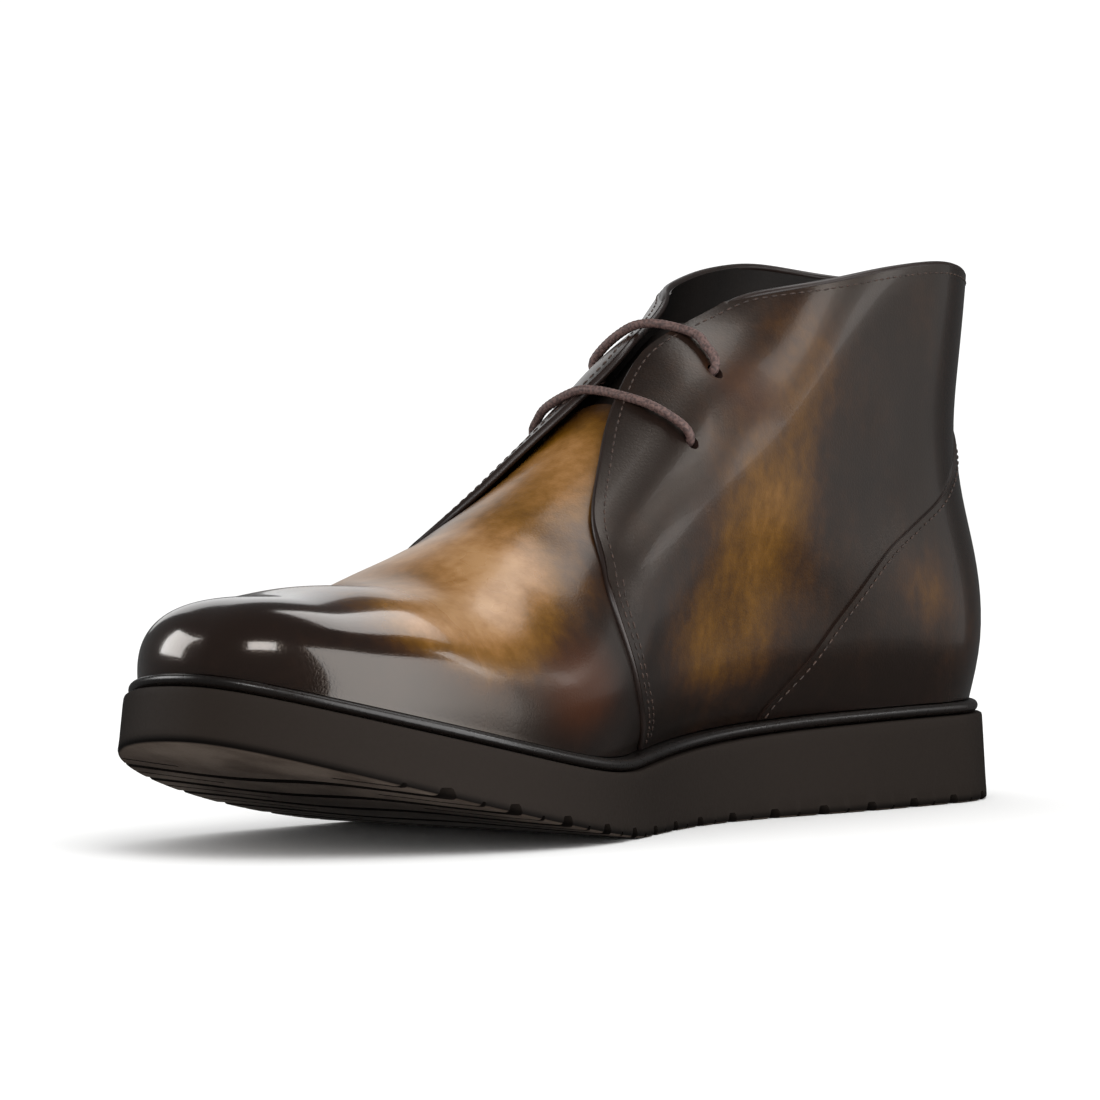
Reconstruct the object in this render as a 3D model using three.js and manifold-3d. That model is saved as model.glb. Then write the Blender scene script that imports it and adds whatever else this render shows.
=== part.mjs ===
// Chukka boot for the right foot, in millimetres.
// +X runs from the heel to the toe, +Y to the inner side of the foot, +Z up, and the floor is Z = 0.
// The upper is cut from larger forms that all follow one function of the last, so every panel,
// the tongue, the insole and the laces keep their place on it when a size changes.
import * as THREE from 'three';
import { mergeVertices } from 'three/addons/utils/BufferGeometryUtils.js';
import Module from 'manifold-3d';

// Sizes of the sole
const SOLE_LENGTH = 300;
const HEEL_WIDTH = 69;
const BALL_WIDTH = 102;
const HEEL_THICKNESS = 22.4;
const BALL_THICKNESS = 14.6;
const TOE_THICKNESS = 13.2;
const TOE_SPRING = 27;
const HEEL_CORNER = 35;
const TOE_CORNER_INNER = 98;
const TOE_CORNER_OUTER = 75;
const TOE_RAKE = 2.6;
const SOLE_CHAMFER = 0.8;
// Where the tread leaves the floor, as a share of the length, and how its rise steepens
const FLAT_SHARE = 0.59;
const SPRING_POWER = 1.5;
const SPRING_REACH = 1.1;
// Where the sole starts to widen from the heel, and where it is as wide as the ball
const HEEL_END_SHARE = 0.15;
const BALL_SHARE = 0.7;
// Fullness of rounded ends: 2 is a circle's quarter, and more is squarer
const EDGE_FULLNESS = 2.1;
const HEEL_FULLNESS = 2.2;
const TOE_FULLNESS = 2.4;
const RIDGE_FULLNESS = 1.5;

// Sizes of the tread
const GROOVE_COUNT = 15;
const GROOVE_WIDTH = 3.6;
const GROOVE_DEPTH = 2.4;
const GROOVE_SLANT = 24;
const GROOVE_WAVE = 2.6;
// How far a groove runs out past each side, as a share of the ball's width
const GROOVE_REACH = 0.6;
const HEEL_PLATE = 22;
const TOE_PLATE = 26;

// Sizes of the midsole and the insole
const MIDSOLE_THICKNESS = 3;
const MIDSOLE_INSET = 2.4;
const INSOLE_THICKNESS = 3;

// Sizes of the last and the upper
const WALL = 1.9;
const QUARTER_WALL = 2.1;
const LAP = 1;
const COUNTER_LAP = 0.7;
const LEDGE = 4.6;
const BULGE = 4;
const BELLY_RISE = 17;
const ANKLE_LEVEL = 86;
const ANKLE_WIDTH = 60;
const COLLAR_WIDTH = 62;
const COLLAR_HEIGHT = 138;
const TOE_BOX_HEIGHT = 23;
const TOE_BOX_LENGTH = 25;
const BALL_HEIGHT = 61;
const INSTEP_HEIGHT = 93;
const HEEL_CURVE = 6;
const HEEL_ROUND = 40;
const FACING_GAPE = 4;
// Where the facings start and end to stand off the tongue, and over what share each change runs
const GAPE_BACK = 0.36;
const GAPE_BACK_RUN = 0.1;
const GAPE_FRONT = 0.67;
const GAPE_FRONT_RUN = 0.15;
const THROAT_WIDTH = 46;

// Sizes of the tongue and the laces
const TONGUE_THICKNESS = 1.8;
const TONGUE_DROP = 15;
// The tongue's front and back ends, as shares of the length
const TONGUE_START = 0.62;
const TONGUE_END = 0.385;
const LACE_DIAMETER = 2.3;
const EYELET_DIAMETER = 3.4;

// Clearance between pieces that touch
const GAP = 0.3;
// More room where a flat facet of one piece faces a facet of another
const FACET_ROOM = 0.4;
// Space between the outer form and a cutter that passes it
const PAST = 12;

// Half widths of the sole on each side, as shares of its width there.
const OUTLINE = [
  { at: 0.00, inner: 0.490, outer: 0.490 },
  { at: 0.12, inner: 0.507, outer: 0.507 },
  { at: 0.25, inner: 0.460, outer: 0.505 },
  { at: 0.40, inner: 0.336, outer: 0.492 },
  { at: 0.52, inner: 0.354, outer: 0.500 },
  { at: 0.64, inner: 0.446, outer: 0.500 },
  { at: 0.74, inner: 0.485, outer: 0.505 },
  { at: 0.84, inner: 0.474, outer: 0.500 },
  { at: 1.00, inner: 0.400, outer: 0.525 },
];

// How the thickness of the sole goes from the heel's to the ball's and on to the toe's.
const THICKNESS = [
  { at: 0.00, heel: 1.00, toe: 0.0 },
  { at: 0.16, heel: 0.99, toe: 0.0 },
  { at: 0.35, heel: 0.80, toe: 0.0 },
  { at: 0.55, heel: 0.28, toe: 0.0 },
  { at: 0.68, heel: 0.02, toe: 0.0 },
  { at: 0.80, heel: 0.00, toe: 0.1 },
  { at: 0.90, heel: 0.00, toe: 0.5 },
  { at: 1.00, heel: 0.00, toe: 1.0 },
];

// The last at the feather line: ledge of bare midsole around it, and how far its belly stands out
// above that, on the inner and outer side, as shares of LEDGE and BULGE. The ankle and the collar
// are shares of half of ANKLE_WIDTH and COLLAR_WIDTH.
const LAST = [
  { at: 0.00, ledgeIn: 1.0, ledgeOut: 1.0, bellyIn: 0.7, bellyOut: 0.7, ankleIn: 0.94, ankleOut: 0.95 },
  { at: 0.12, ledgeIn: 1.1, ledgeOut: 1.0, bellyIn: 0.7, bellyOut: 0.7, ankleIn: 0.94, ankleOut: 0.95 },
  { at: 0.25, ledgeIn: 1.4, ledgeOut: 1.1, bellyIn: 1.3, bellyOut: 0.8, ankleIn: 1.01, ankleOut: 0.93 },
  { at: 0.40, ledgeIn: 1.6, ledgeOut: 1.1, bellyIn: 2.0, bellyOut: 0.5, ankleIn: 1.08, ankleOut: 0.84 },
  { at: 0.52, ledgeIn: 1.6, ledgeOut: 1.1, bellyIn: 1.8, bellyOut: 0.3, ankleIn: 1.18, ankleOut: 0.94 },
  { at: 0.64, ledgeIn: 1.3, ledgeOut: 1.1, bellyIn: 0.9, bellyOut: 0.4, ankleIn: 1.36, ankleOut: 1.20 },
  { at: 0.74, ledgeIn: 1.1, ledgeOut: 1.1, bellyIn: 0.5, bellyOut: 0.4, ankleIn: 1.50, ankleOut: 1.45 },
  { at: 0.84, ledgeIn: 1.0, ledgeOut: 1.0, bellyIn: 0.4, bellyOut: 0.4, ankleIn: 1.50, ankleOut: 1.50 },
  { at: 1.00, ledgeIn: 1.0, ledgeOut: 1.0, bellyIn: 0.3, bellyOut: 0.3, ankleIn: 1.40, ankleOut: 1.40 },
];

// The collar's half widths, as shares of half of COLLAR_WIDTH.
const COLLAR = [
  { at: 0.00, inner: 0.97, outer: 0.97 },
  { at: 0.20, inner: 1.00, outer: 0.95 },
  { at: 0.35, inner: 1.04, outer: 0.84 },
  { at: 0.50, inner: 1.08, outer: 0.84 },
  { at: 1.00, inner: 1.10, outer: 1.00 },
];

// The crest of the last, from over the heel down the instep to the toe box, as shares of the
// collar's, instep's and ball's heights, and of the toe box's height over the feather line.
const CREST = [
  { at: 0.00, collar: 1.480, instep: 0.000, ball: 0.000, toe: 0.00 },
  { at: 0.20, collar: 1.240, instep: 0.000, ball: 0.000, toe: 0.00 },
  { at: 0.30, collar: 1.070, instep: 0.000, ball: 0.000, toe: 0.00 },
  { at: 0.37, collar: 0.940, instep: 0.000, ball: 0.000, toe: 0.00 },
  { at: 0.44, collar: 0.420, instep: 0.608, ball: 0.000, toe: 0.00 },
  { at: 0.54, collar: 0.000, instep: 1.000, ball: 0.000, toe: 0.00 },
  { at: 0.62, collar: 0.000, instep: 0.524, ball: 0.510, toe: 0.00 },
  { at: 0.70, collar: 0.000, instep: 0.120, ball: 0.950, toe: 0.00 },
  { at: 0.76, collar: 0.000, instep: 0.000, ball: 1.020, toe: 0.00 },
  { at: 0.84, collar: 0.000, instep: 0.000, ball: 0.500, toe: 0.57 },
  { at: 0.90, collar: 0.000, instep: 0.000, ball: 0.000, toe: 1.02 },
  { at: 1.00, collar: 0.000, instep: 0.000, ball: 0.000, toe: 0.92 },
];

// How deep the crest's rounding reaches down the sides, as a share of the height over the feather,
// how full that rounding is, and how far the ridge leans to the inner side, as a share of the
// ball's width.
const ROUNDING = [
  { at: 0.00, depth: 0.30, full: 2.1, lean: 0.030 },
  { at: 0.30, depth: 0.36, full: 1.9, lean: 0.040 },
  { at: 0.45, depth: 0.46, full: 1.9, lean: 0.046 },
  { at: 0.55, depth: 0.62, full: 2.0, lean: 0.042 },
  { at: 0.65, depth: 0.80, full: 2.0, lean: 0.045 },
  { at: 0.75, depth: 0.90, full: 2.1, lean: 0.035 },
  { at: 0.88, depth: 0.94, full: 2.4, lean: 0.010 },
  { at: 1.00, depth: 1.00, full: 2.5, lean: 0.000 },
];

// The line of the heel in side view: distance in front of the sole's back edge, as a share of
// HEEL_CURVE, over the height from the feather line to the collar.
const HEEL_LINE = [
  { at: 0.00, forward: 0.85 },
  { at: 0.18, forward: 0.40 },
  { at: 0.32, forward: 0.50 },
  { at: 0.48, forward: 1.15 },
  { at: 0.62, forward: 1.55 },
  { at: 0.78, forward: 1.40 },
  { at: 1.00, forward: 0.95 },
];

// The front edge of the quarters in side view, from the sole up to where the throat opens:
// shares of SOLE_LENGTH and of COLLAR_HEIGHT.
const WING_EDGE = [
  { along: 0.545, up: 0.00 },
  { along: 0.562, up: 0.15 },
  { along: 0.599, up: 0.240 },
  { along: 0.624, up: 0.370 },
  { along: 0.622, up: 0.470 },
  { along: 0.613, up: 0.560 },
];

// The throat and the front of the collar seen from above: how far each facing's edge stands off
// the ridge, as a share of THROAT_WIDTH.
const THROAT = [
  { along: 0.640, open: 0.780 },
  { along: 0.618, open: 0.630 },
  { along: 0.602, open: 0.480 },
  { along: 0.555, open: 0.304 },
  { along: 0.526, open: 0.205 },
  { along: 0.490, open: 0.116 },
  { along: 0.459, open: 0.076 },
  { along: 0.430, open: 0.105 },
  { along: 0.400, open: 0.150 },
  { along: 0.366, open: 0.222 },
  { along: 0.340, open: 0.300 },
  { along: 0.290, open: 0.400 },
];

// The rim of the collar in side view, from over the throat to the back.
const RIM = [
  { along: 0.470, up: 0.900 },
  { along: 0.420, up: 0.915 },
  { along: 0.378, up: 0.926 },
  { along: 0.330, up: 0.947 },
  { along: 0.280, up: 0.964 },
  { along: 0.200, up: 0.990 },
  { along: 0.120, up: 1.000 },
  { along: 0.040, up: 0.975 },
  { along: 0.000, up: 0.960 },
];

// The back edge of the vamp, which lies under the quarters, and its end on the instep.
const VAMP_EDGE = [
  { along: 0.490, up: 0.00 },
  { along: 0.520, up: 0.20 },
  { along: 0.560, up: 0.34 },
  { along: 0.566, up: 0.46 },
  { along: 0.535, up: 0.56 },
  { along: 0.498, up: 0.68 },
  { along: 0.492, up: 0.80 },
];

// The front edge of the counter, lapped over the quarters.
const COUNTER_EDGE = [
  { along: 0.375, up: 0.00 },
  { along: 0.362, up: 0.19 },
  { along: 0.347, up: 0.240 },
  { along: 0.298, up: 0.340 },
  { along: 0.223, up: 0.466 },
  { along: 0.168, up: 0.524 },
  { along: 0.117, up: 0.577 },
  { along: 0.060, up: 0.665 },
  { along: 0.022, up: 0.770 },
];

// The eyelets of one side in side view, as shares of SOLE_LENGTH and COLLAR_HEIGHT.
const EYELETS = [
  { name: 'lower', along: 0.481, up: 0.679 },
  { name: 'upper', along: 0.426, up: 0.803 },
];

// Resolution of the forms and of what cuts them
const COLUMNS = 40;
const ROWS = 11;
const EDGE_STEPS = 26;
const GROOVE_STEPS = 10;
const TONGUE_STEPS = 14;
const FEATHER_STEPS = 36;
const EYELET_SIDES = 10;
const LACE_KNOTS = 8;
const LACE_STEPS = 24;
const LACE_SIDES = 4;
// How late a form's foot comes back to the feather line towards the toe
const FOOT_FADE = 8;

const clamp = (value, low, high) => Math.min(high, Math.max(low, value));
const smooth = (value) => {
  const t = clamp(value, 0, 1);
  return t * t * (3 - 2 * t);
};

// A natural cubic spline through one column of a table, over another column.
function spline(table, column, over = 'at') {
  const x = table.map((row) => row[over]);
  const y = table.map((row) => row[column]);
  const count = x.length;
  const bend = new Array(count).fill(0);
  const work = new Array(count).fill(0);
  for (let i = 1; i < count - 1; i += 1) {
    const span = x[i + 1] - x[i - 1];
    const share = (x[i] - x[i - 1]) / span;
    const pivot = share * bend[i - 1] + 2;
    const turn = (y[i + 1] - y[i]) / (x[i + 1] - x[i]) - (y[i] - y[i - 1]) / (x[i] - x[i - 1]);
    bend[i] = (share - 1) / pivot;
    work[i] = ((6 * turn) / span - share * work[i - 1]) / pivot;
  }
  for (let i = count - 2; i >= 0; i -= 1) {
    bend[i] = bend[i] * bend[i + 1] + work[i];
  }
  bend[count - 1] = 0;
  return (at) => {
    const t = clamp(at, x[0], x[count - 1]);
    let k = 0;
    while (k < count - 2 && t > x[k + 1]) k += 1;
    const h = x[k + 1] - x[k];
    const a = (x[k + 1] - t) / h;
    const b = (t - x[k]) / h;
    const cubic = ((a ** 3 - a) * bend[k] + (b ** 3 - b) * bend[k + 1]) * h * h;
    return a * y[k] + b * y[k + 1] + cubic / 6;
  };
}

// A rounded end: 0 at the end itself, 1 from one radius on.
function roundEnd(distance, fullness = EDGE_FULLNESS) {
  const t = clamp(distance, 0, 1);
  return (1 - (1 - t) ** fullness) ** (1 / fullness);
}

const shareInner = spline(OUTLINE, 'inner');
const shareOuter = spline(OUTLINE, 'outer');
const heelShare = spline(THICKNESS, 'heel');
const toeShare = spline(THICKNESS, 'toe');
const ledgeIn = spline(LAST, 'ledgeIn');
const ledgeOut = spline(LAST, 'ledgeOut');
const bellyIn = spline(LAST, 'bellyIn');
const bellyOut = spline(LAST, 'bellyOut');
const ankleIn = spline(LAST, 'ankleIn');
const ankleOut = spline(LAST, 'ankleOut');
const collarIn = spline(COLLAR, 'inner');
const collarOut = spline(COLLAR, 'outer');
const crestCollar = spline(CREST, 'collar');
const crestInstep = spline(CREST, 'instep');
const crestBall = spline(CREST, 'ball');
const crestToe = spline(CREST, 'toe');
const roundingDepth = spline(ROUNDING, 'depth');
const roundingFullness = spline(ROUNDING, 'full');
const ridgeLean = spline(ROUNDING, 'lean');
const heelLine = spline(HEEL_LINE, 'forward');

// The sole: its width on each side, its floor line and its thickness.
function soleWidth(s) {
  return HEEL_WIDTH + (BALL_WIDTH - HEEL_WIDTH) * smooth((s - HEEL_END_SHARE) / (BALL_SHARE - HEEL_END_SHARE));
}

function soleHalf(s, side) {
  return soleWidth(s) * (side > 0 ? shareInner(s) : shareOuter(s));
}

function toeCorner(side) {
  return side > 0 ? TOE_CORNER_INNER : TOE_CORNER_OUTER;
}

// Half width of the sole at x, drawn in by an inset on all its edges.
function outline(x, side, inset) {
  const plateau = soleHalf(x / SOLE_LENGTH, side) - inset;
  const heel = roundEnd((x - inset) / (HEEL_CORNER - inset));
  const toe = roundEnd((SOLE_LENGTH - inset - x) / (toeCorner(side) - inset));
  return plateau * heel * toe;
}

function floorLine(x) {
  return TOE_SPRING * clamp((x / SOLE_LENGTH - FLAT_SHARE) / (1 - FLAT_SHARE), 0, SPRING_REACH) ** SPRING_POWER;
}

function soleTop(x) {
  const s = x / SOLE_LENGTH;
  const towardHeel = (HEEL_THICKNESS - BALL_THICKNESS) * heelShare(s);
  const towardToe = (TOE_THICKNESS - BALL_THICKNESS) * toeShare(s);
  return floorLine(x) + BALL_THICKNESS + towardHeel + towardToe;
}

function midsoleTop(x) {
  return soleTop(x) + GAP + MIDSOLE_THICKNESS;
}

// The line where the upper meets the midsole.
function feather(x) {
  return midsoleTop(x) + GAP;
}

// The last, as a surface at a distance `out` from the vamp's own face. Each value below is a
// function of the side view's x and z.
function heelBack(z) {
  const rise = (z - feather(0)) / (COLLAR_HEIGHT - feather(0));
  return HEEL_CURVE * heelLine(rise);
}

function crest(x, out, gape) {
  const s = x / SOLE_LENGTH;
  const shaft = COLLAR_HEIGHT * crestCollar(s) + INSTEP_HEIGHT * crestInstep(s);
  const foot = BALL_HEIGHT * crestBall(s) + (feather(x) + TOE_BOX_HEIGHT) * crestToe(s);
  const open = smooth((s - GAPE_BACK) / GAPE_BACK_RUN) * smooth((GAPE_FRONT - s) / GAPE_FRONT_RUN);
  return shaft + foot + gape * FACING_GAPE * open + out;
}

function lastEnd(out) {
  return SOLE_LENGTH - LEDGE + out;
}

function topLine(x, out, gape) {
  const slopeStep = 1;
  const slope = (crest(x + slopeStep, 0, gape) - crest(x - slopeStep, 0, gape)) / (2 * slopeStep);
  const steep = Math.sqrt(1 + slope * slope);
  const base = feather(x);
  const open = crest(x, out * steep, gape) - base;
  return base + open * roundEnd((lastEnd(out) - x) / (TOE_BOX_LENGTH + out), TOE_FULLNESS);
}

function lastHalf(x, z, side, out) {
  const s = clamp(x / SOLE_LENGTH, 0, 1);
  const ledge = LEDGE * (side > 0 ? ledgeIn(s) : ledgeOut(s));
  const featherHalf = soleHalf(s, side) - ledge;
  const bellyHalf = featherHalf + BULGE * (side > 0 ? bellyIn(s) : bellyOut(s));
  const ankleHalf = (ANKLE_WIDTH / 2) * (side > 0 ? ankleIn(s) : ankleOut(s));
  const collarHalf = (COLLAR_WIDTH / 2) * (side > 0 ? collarIn(s) : collarOut(s));
  const bellyLevel = feather(x) + BELLY_RISE;
  const toBelly = Math.sin((Math.PI / 2) * clamp((z - feather(x)) / BELLY_RISE, 0, 1));
  const toAnkle = smooth((z - bellyLevel) / (ANKLE_LEVEL - bellyLevel));
  const toCollar = smooth((z - ANKLE_LEVEL) / (COLLAR_HEIGHT - ANKLE_LEVEL));
  let half = featherHalf + (bellyHalf - featherHalf) * toBelly;
  half += (ankleHalf - bellyHalf) * toAnkle;
  half += (collarHalf - ankleHalf) * toCollar;
  const heel = roundEnd((x - heelBack(z) + out) / (HEEL_ROUND + out), HEEL_FULLNESS);
  const toe = roundEnd((lastEnd(out) - x) / (toeCorner(side) - LEDGE + out));
  return (half + out) * heel * toe;
}

// The y of the last's surface on one side.
function lastSide(x, z, side, out, gape) {
  const s = clamp(x / SOLE_LENGTH, 0, 1);
  const top = topLine(x, out, gape);
  const depth = Math.max(top - feather(x), 1) * roundingDepth(s);
  const round = roundEnd((top - z) / depth, roundingFullness(s));
  const ridge = BALL_WIDTH * ridgeLean(s) * (1 - roundEnd((top - z) / depth, RIDGE_FULLNESS));
  return side * lastHalf(x, z, side, out) * round + ridge * roundEnd((lastEnd(out) - x) / TOE_BOX_LENGTH);
}

// A closed mesh through loops of points, one loop for each column. Points that fall together
// are merged, so a loop may shrink to a line or a point at either end.
function loft(loops) {
  const positions = [];
  const index = [];
  const count = loops[0].length;
  loops.forEach((loop) => loop.forEach((point) => positions.push(...point)));
  for (let i = 0; i < loops.length - 1; i += 1) {
    for (let j = 0; j < count; j += 1) {
      const a = i * count + j;
      const b = i * count + ((j + 1) % count);
      index.push(a, b + count, a + count, a, b, b + count);
    }
  }
  const geometry = new THREE.BufferGeometry();
  geometry.setAttribute('position', new THREE.Float32BufferAttribute(positions, 3));
  geometry.setIndex(index);
  return geometry;
}

const wasm = await Module();
wasm.setup();

function solid(geometry) {
  const bare = geometry.clone();
  bare.deleteAttribute('normal');
  bare.deleteAttribute('uv');
  const merged = mergeVertices(bare, 1e-4);
  const corners = merged.index.array;
  const kept = [];
  for (let i = 0; i < corners.length; i += 3) {
    const [a, b, c] = [corners[i], corners[i + 1], corners[i + 2]];
    if (a !== b && b !== c && c !== a) kept.push(a, b, c);
  }
  return new wasm.Manifold(new wasm.Mesh({
    numProp: 3,
    vertProperties: new Float32Array(merged.attributes.position.array),
    triVerts: new Uint32Array(kept),
  }));
}

function geometryOf(manifold) {
  const mesh = manifold.getMesh();
  const geometry = new THREE.BufferGeometry();
  geometry.setAttribute('position', new THREE.BufferAttribute(new Float32Array(mesh.vertProperties), 3));
  geometry.setIndex(new THREE.BufferAttribute(new Uint32Array(mesh.triVerts), 1));
  const flat = geometry.toNonIndexed();
  flat.computeVertexNormals();
  return flat;
}

// Shares of the length for the columns, closer together at both ends.
function columnShares(count) {
  return Array.from({ length: count + 1 }, (_, i) => (1 - Math.cos((Math.PI * i) / count)) / 2);
}

// A slab that follows the sole's outline: rings from the bottom to the top, each with its inset and
// its height as a function of x.
function slab(rings, halfWidth, start, end) {
  const loops = columnShares(COLUMNS).map((share) => {
    const ring = (side) => rings.map(({ inset, height }) => {
      const x = start + inset + (end - start - 2 * inset) * share;
      const half = share === 0 || share === 1 ? 0 : halfWidth(x, side, inset);
      return [x, side * half, height(x)];
    });
    return [...ring(1), ...ring(-1).reverse()];
  });
  return loft(loops);
}

// The whole form of the last at a distance `out`, with its foot below the feather line by `foot`
// and its head cut flat at `head`.
function lastForm(out, gape, foot, head) {
  const end = lastEnd(out);
  const loops = columnShares(COLUMNS).map((share) => {
    const ring = (side) => Array.from({ length: ROWS + 1 }, (_, j) => {
      const level = Math.sin((Math.PI / 2) * (j / ROWS));
      let x = end * share;
      let z = feather(x);
      let top = z;
      for (let turn = 0; turn < 6; turn += 1) {
        top = Math.min(topLine(x, out, gape), head);
        const base = feather(x) - foot * (1 - share ** FOOT_FADE);
        z = base + (top - base) * level;
        x = (heelBack(z) - out) * (1 - share) + end * share;
      }
      const y = share === 0 || share === 1 ? 0 : lastSide(x, z, side, out, gape);
      return [x, y, z];
    });
    return [...ring(1), ...ring(-1).reverse()];
  });
  return solid(loft(loops));
}

// A straight cutter along Y from a closed outline in side view.
function sideCutter(points, width = 4 * BALL_WIDTH) {
  const shape = new THREE.Shape(points.map(([x, z]) => new THREE.Vector2(x, z)));
  const geometry = new THREE.ExtrudeGeometry(shape, { depth: width, bevelEnabled: false, steps: 1 });
  geometry.rotateX(Math.PI / 2);
  geometry.translate(0, width / 2, 0);
  return solid(geometry);
}

// A smooth curve through a table of side-view points.
function sideCurve(table, steps) {
  const knots = table.map(({ along, up }) => new THREE.Vector3(along * SOLE_LENGTH, up * COLLAR_HEIGHT, 0));
  const line = new THREE.CatmullRomCurve3(knots, false, 'centripetal');
  return line.getPoints(steps).map((point) => [point.x, point.y]);
}

// The outsole with its tread.
function grooveCutter(x) {
  const loops = Array.from({ length: GROOVE_STEPS + 1 }, (_, i) => {
    const across = 1 - (2 * i) / GROOVE_STEPS;
    const y = across * BALL_WIDTH * GROOVE_REACH;
    const centre = x - (GROOVE_SLANT / 2) * across + GROOVE_WAVE * Math.sin(across * Math.PI * 2);
    const top = floorLine(centre) + GROOVE_DEPTH;
    const back = centre - GROOVE_WIDTH / 2;
    const front = centre + GROOVE_WIDTH / 2;
    return [[front, y, -PAST], [front, y, top], [back, y, top], [back, y, -PAST]];
  });
  return solid(cappedLoft(loops));
}

// A loft whose first and last loops are closed by a fan.
function cappedLoft(loops) {
  const first = loops[0];
  const last = loops[loops.length - 1];
  const middle = (loop) => [0, 1, 2].map((axis) => loop.reduce((sum, p) => sum + p[axis], 0) / loop.length);
  const start = first.map(() => middle(first));
  const finish = last.map(() => middle(last));
  return loft([start, ...loops, finish]);
}

function makeOutsole() {
  const rings = [
    { inset: SOLE_CHAMFER, height: floorLine },
    { inset: 0, height: (x) => floorLine(x) + SOLE_CHAMFER },
    { inset: TOE_RAKE / 2, height: soleTop },
  ];
  let body = solid(slab(rings, outline, 0, SOLE_LENGTH));
  const span = SOLE_LENGTH - HEEL_PLATE - TOE_PLATE;
  for (let i = 0; i < GROOVE_COUNT; i += 1) {
    const x = HEEL_PLATE + (span * (i + 0.5)) / GROOVE_COUNT;
    body = body.subtract(grooveCutter(x));
  }
  return geometryOf(body);
}

function makeMidsole() {
  const soft = MIDSOLE_THICKNESS / 3;
  const rings = [
    { inset: MIDSOLE_INSET + soft / 2, height: (x) => soleTop(x) + GAP },
    { inset: MIDSOLE_INSET, height: (x) => soleTop(x) + GAP + soft },
    { inset: MIDSOLE_INSET, height: (x) => midsoleTop(x) - soft },
    { inset: MIDSOLE_INSET + soft, height: midsoleTop },
  ];
  return geometryOf(solid(slab(rings, outline, 0, SOLE_LENGTH)));
}

function makeInsole() {
  const out = -(WALL + GAP + FACET_ROOM);
  const foot = (x) => feather(x);
  const head = (x) => feather(x) + INSOLE_THICKNESS;
  const half = (x, side) => lastHalf(x, feather(x), side, out);
  const rings = [
    { inset: 0, height: foot },
    { inset: 0, height: head },
  ];
  return geometryOf(solid(slab(rings, half, heelBack(feather(0)) - out, lastEnd(out))));
}

// The upper: vamp, quarters and counter, each a wall between two forms of the last, cut in side
// view along its own edge and joined where it laps the next.
function makeUpper() {
  const tall = COLLAR_HEIGHT + PAST;
  const foot = PAST / 3;
  const vampWall = lastForm(0, 0, foot, tall).subtract(lastForm(-WALL, 0, PAST, tall + PAST));
  const quarterInner = lastForm(LAP - QUARTER_WALL, 1, PAST, tall + PAST);
  const quarterWall = lastForm(LAP, 1, foot, tall).subtract(quarterInner);
  const counterInner = lastForm(0, 0, PAST, tall + PAST);
  const counterWall = lastForm(LAP + COUNTER_LAP, 0, foot, tall).subtract(counterInner);
  const behind = -PAST;
  const ahead = SOLE_LENGTH + PAST;
  const wing = sideCurve(WING_EDGE, EDGE_STEPS);
  const rim = sideCurve(RIM, EDGE_STEPS);
  const rimBack = rim[rim.length - 1][1];
  const wingTop = [wing[wing.length - 1][0], rim[0][1]];
  const quarterCutter = sideCutter([...wing, wingTop, ...rim, [behind, rimBack], [behind, 0]]);
  const vampLine = sideCurve(VAMP_EDGE, EDGE_STEPS).reverse();
  const vampCutter = sideCutter([[ahead, 0], [ahead, tall], [vampLine[0][0], tall], ...vampLine]);
  const counterLine = sideCurve(COUNTER_EDGE, EDGE_STEPS);
  const counterTop = counterLine[counterLine.length - 1][1];
  const counterCutter = sideCutter([...counterLine, [behind, counterTop], [behind, 0]]);
  let upper = vampWall.intersect(vampCutter);
  upper = upper.add(quarterWall.intersect(quarterCutter).subtract(throatCutter()));
  upper = upper.add(counterWall.intersect(counterCutter));
  upper = upper.subtract(belowFeather());
  for (const eyelet of EYELETS) {
    upper = upper.subtract(eyeletCutter(eyelet));
  }
  return geometryOf(upper);
}

// The open throat between the facings, cut straight down around the ridge.
function throatCutter() {
  const knots = THROAT.map(({ along, open }) => new THREE.Vector3(along * SOLE_LENGTH, open * THROAT_WIDTH, 0));
  const edge = new THREE.CatmullRomCurve3(knots, false, 'centripetal').getPoints(EDGE_STEPS);
  const ridge = (x) => BALL_WIDTH * ridgeLean(x / SOLE_LENGTH);
  const inner = edge.map(({ x, y }) => new THREE.Vector2(x, ridge(x) + y));
  const outer = edge.map(({ x, y }) => new THREE.Vector2(x, ridge(x) - y)).reverse();
  const depth = 2 * COLLAR_HEIGHT;
  const geometry = new THREE.ExtrudeGeometry(new THREE.Shape([...inner, ...outer]), { depth, bevelEnabled: false });
  return solid(geometry);
}

// Everything below the line where the upper meets the midsole.
function belowFeather() {
  const line = Array.from({ length: FEATHER_STEPS + 1 }, (_, i) => {
    const x = -PAST + ((SOLE_LENGTH + 2 * PAST) * i) / FEATHER_STEPS;
    return [x, feather(x)];
  });
  return sideCutter([...line, [SOLE_LENGTH + PAST, -PAST], [-PAST, -PAST]]);
}

function eyeletCutter({ along, up }) {
  const geometry = new THREE.CylinderGeometry(EYELET_DIAMETER / 2, EYELET_DIAMETER / 2, 2 * BALL_WIDTH, EYELET_SIDES);
  geometry.translate(along * SOLE_LENGTH, 0, up * COLLAR_HEIGHT);
  return solid(geometry);
}

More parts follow.
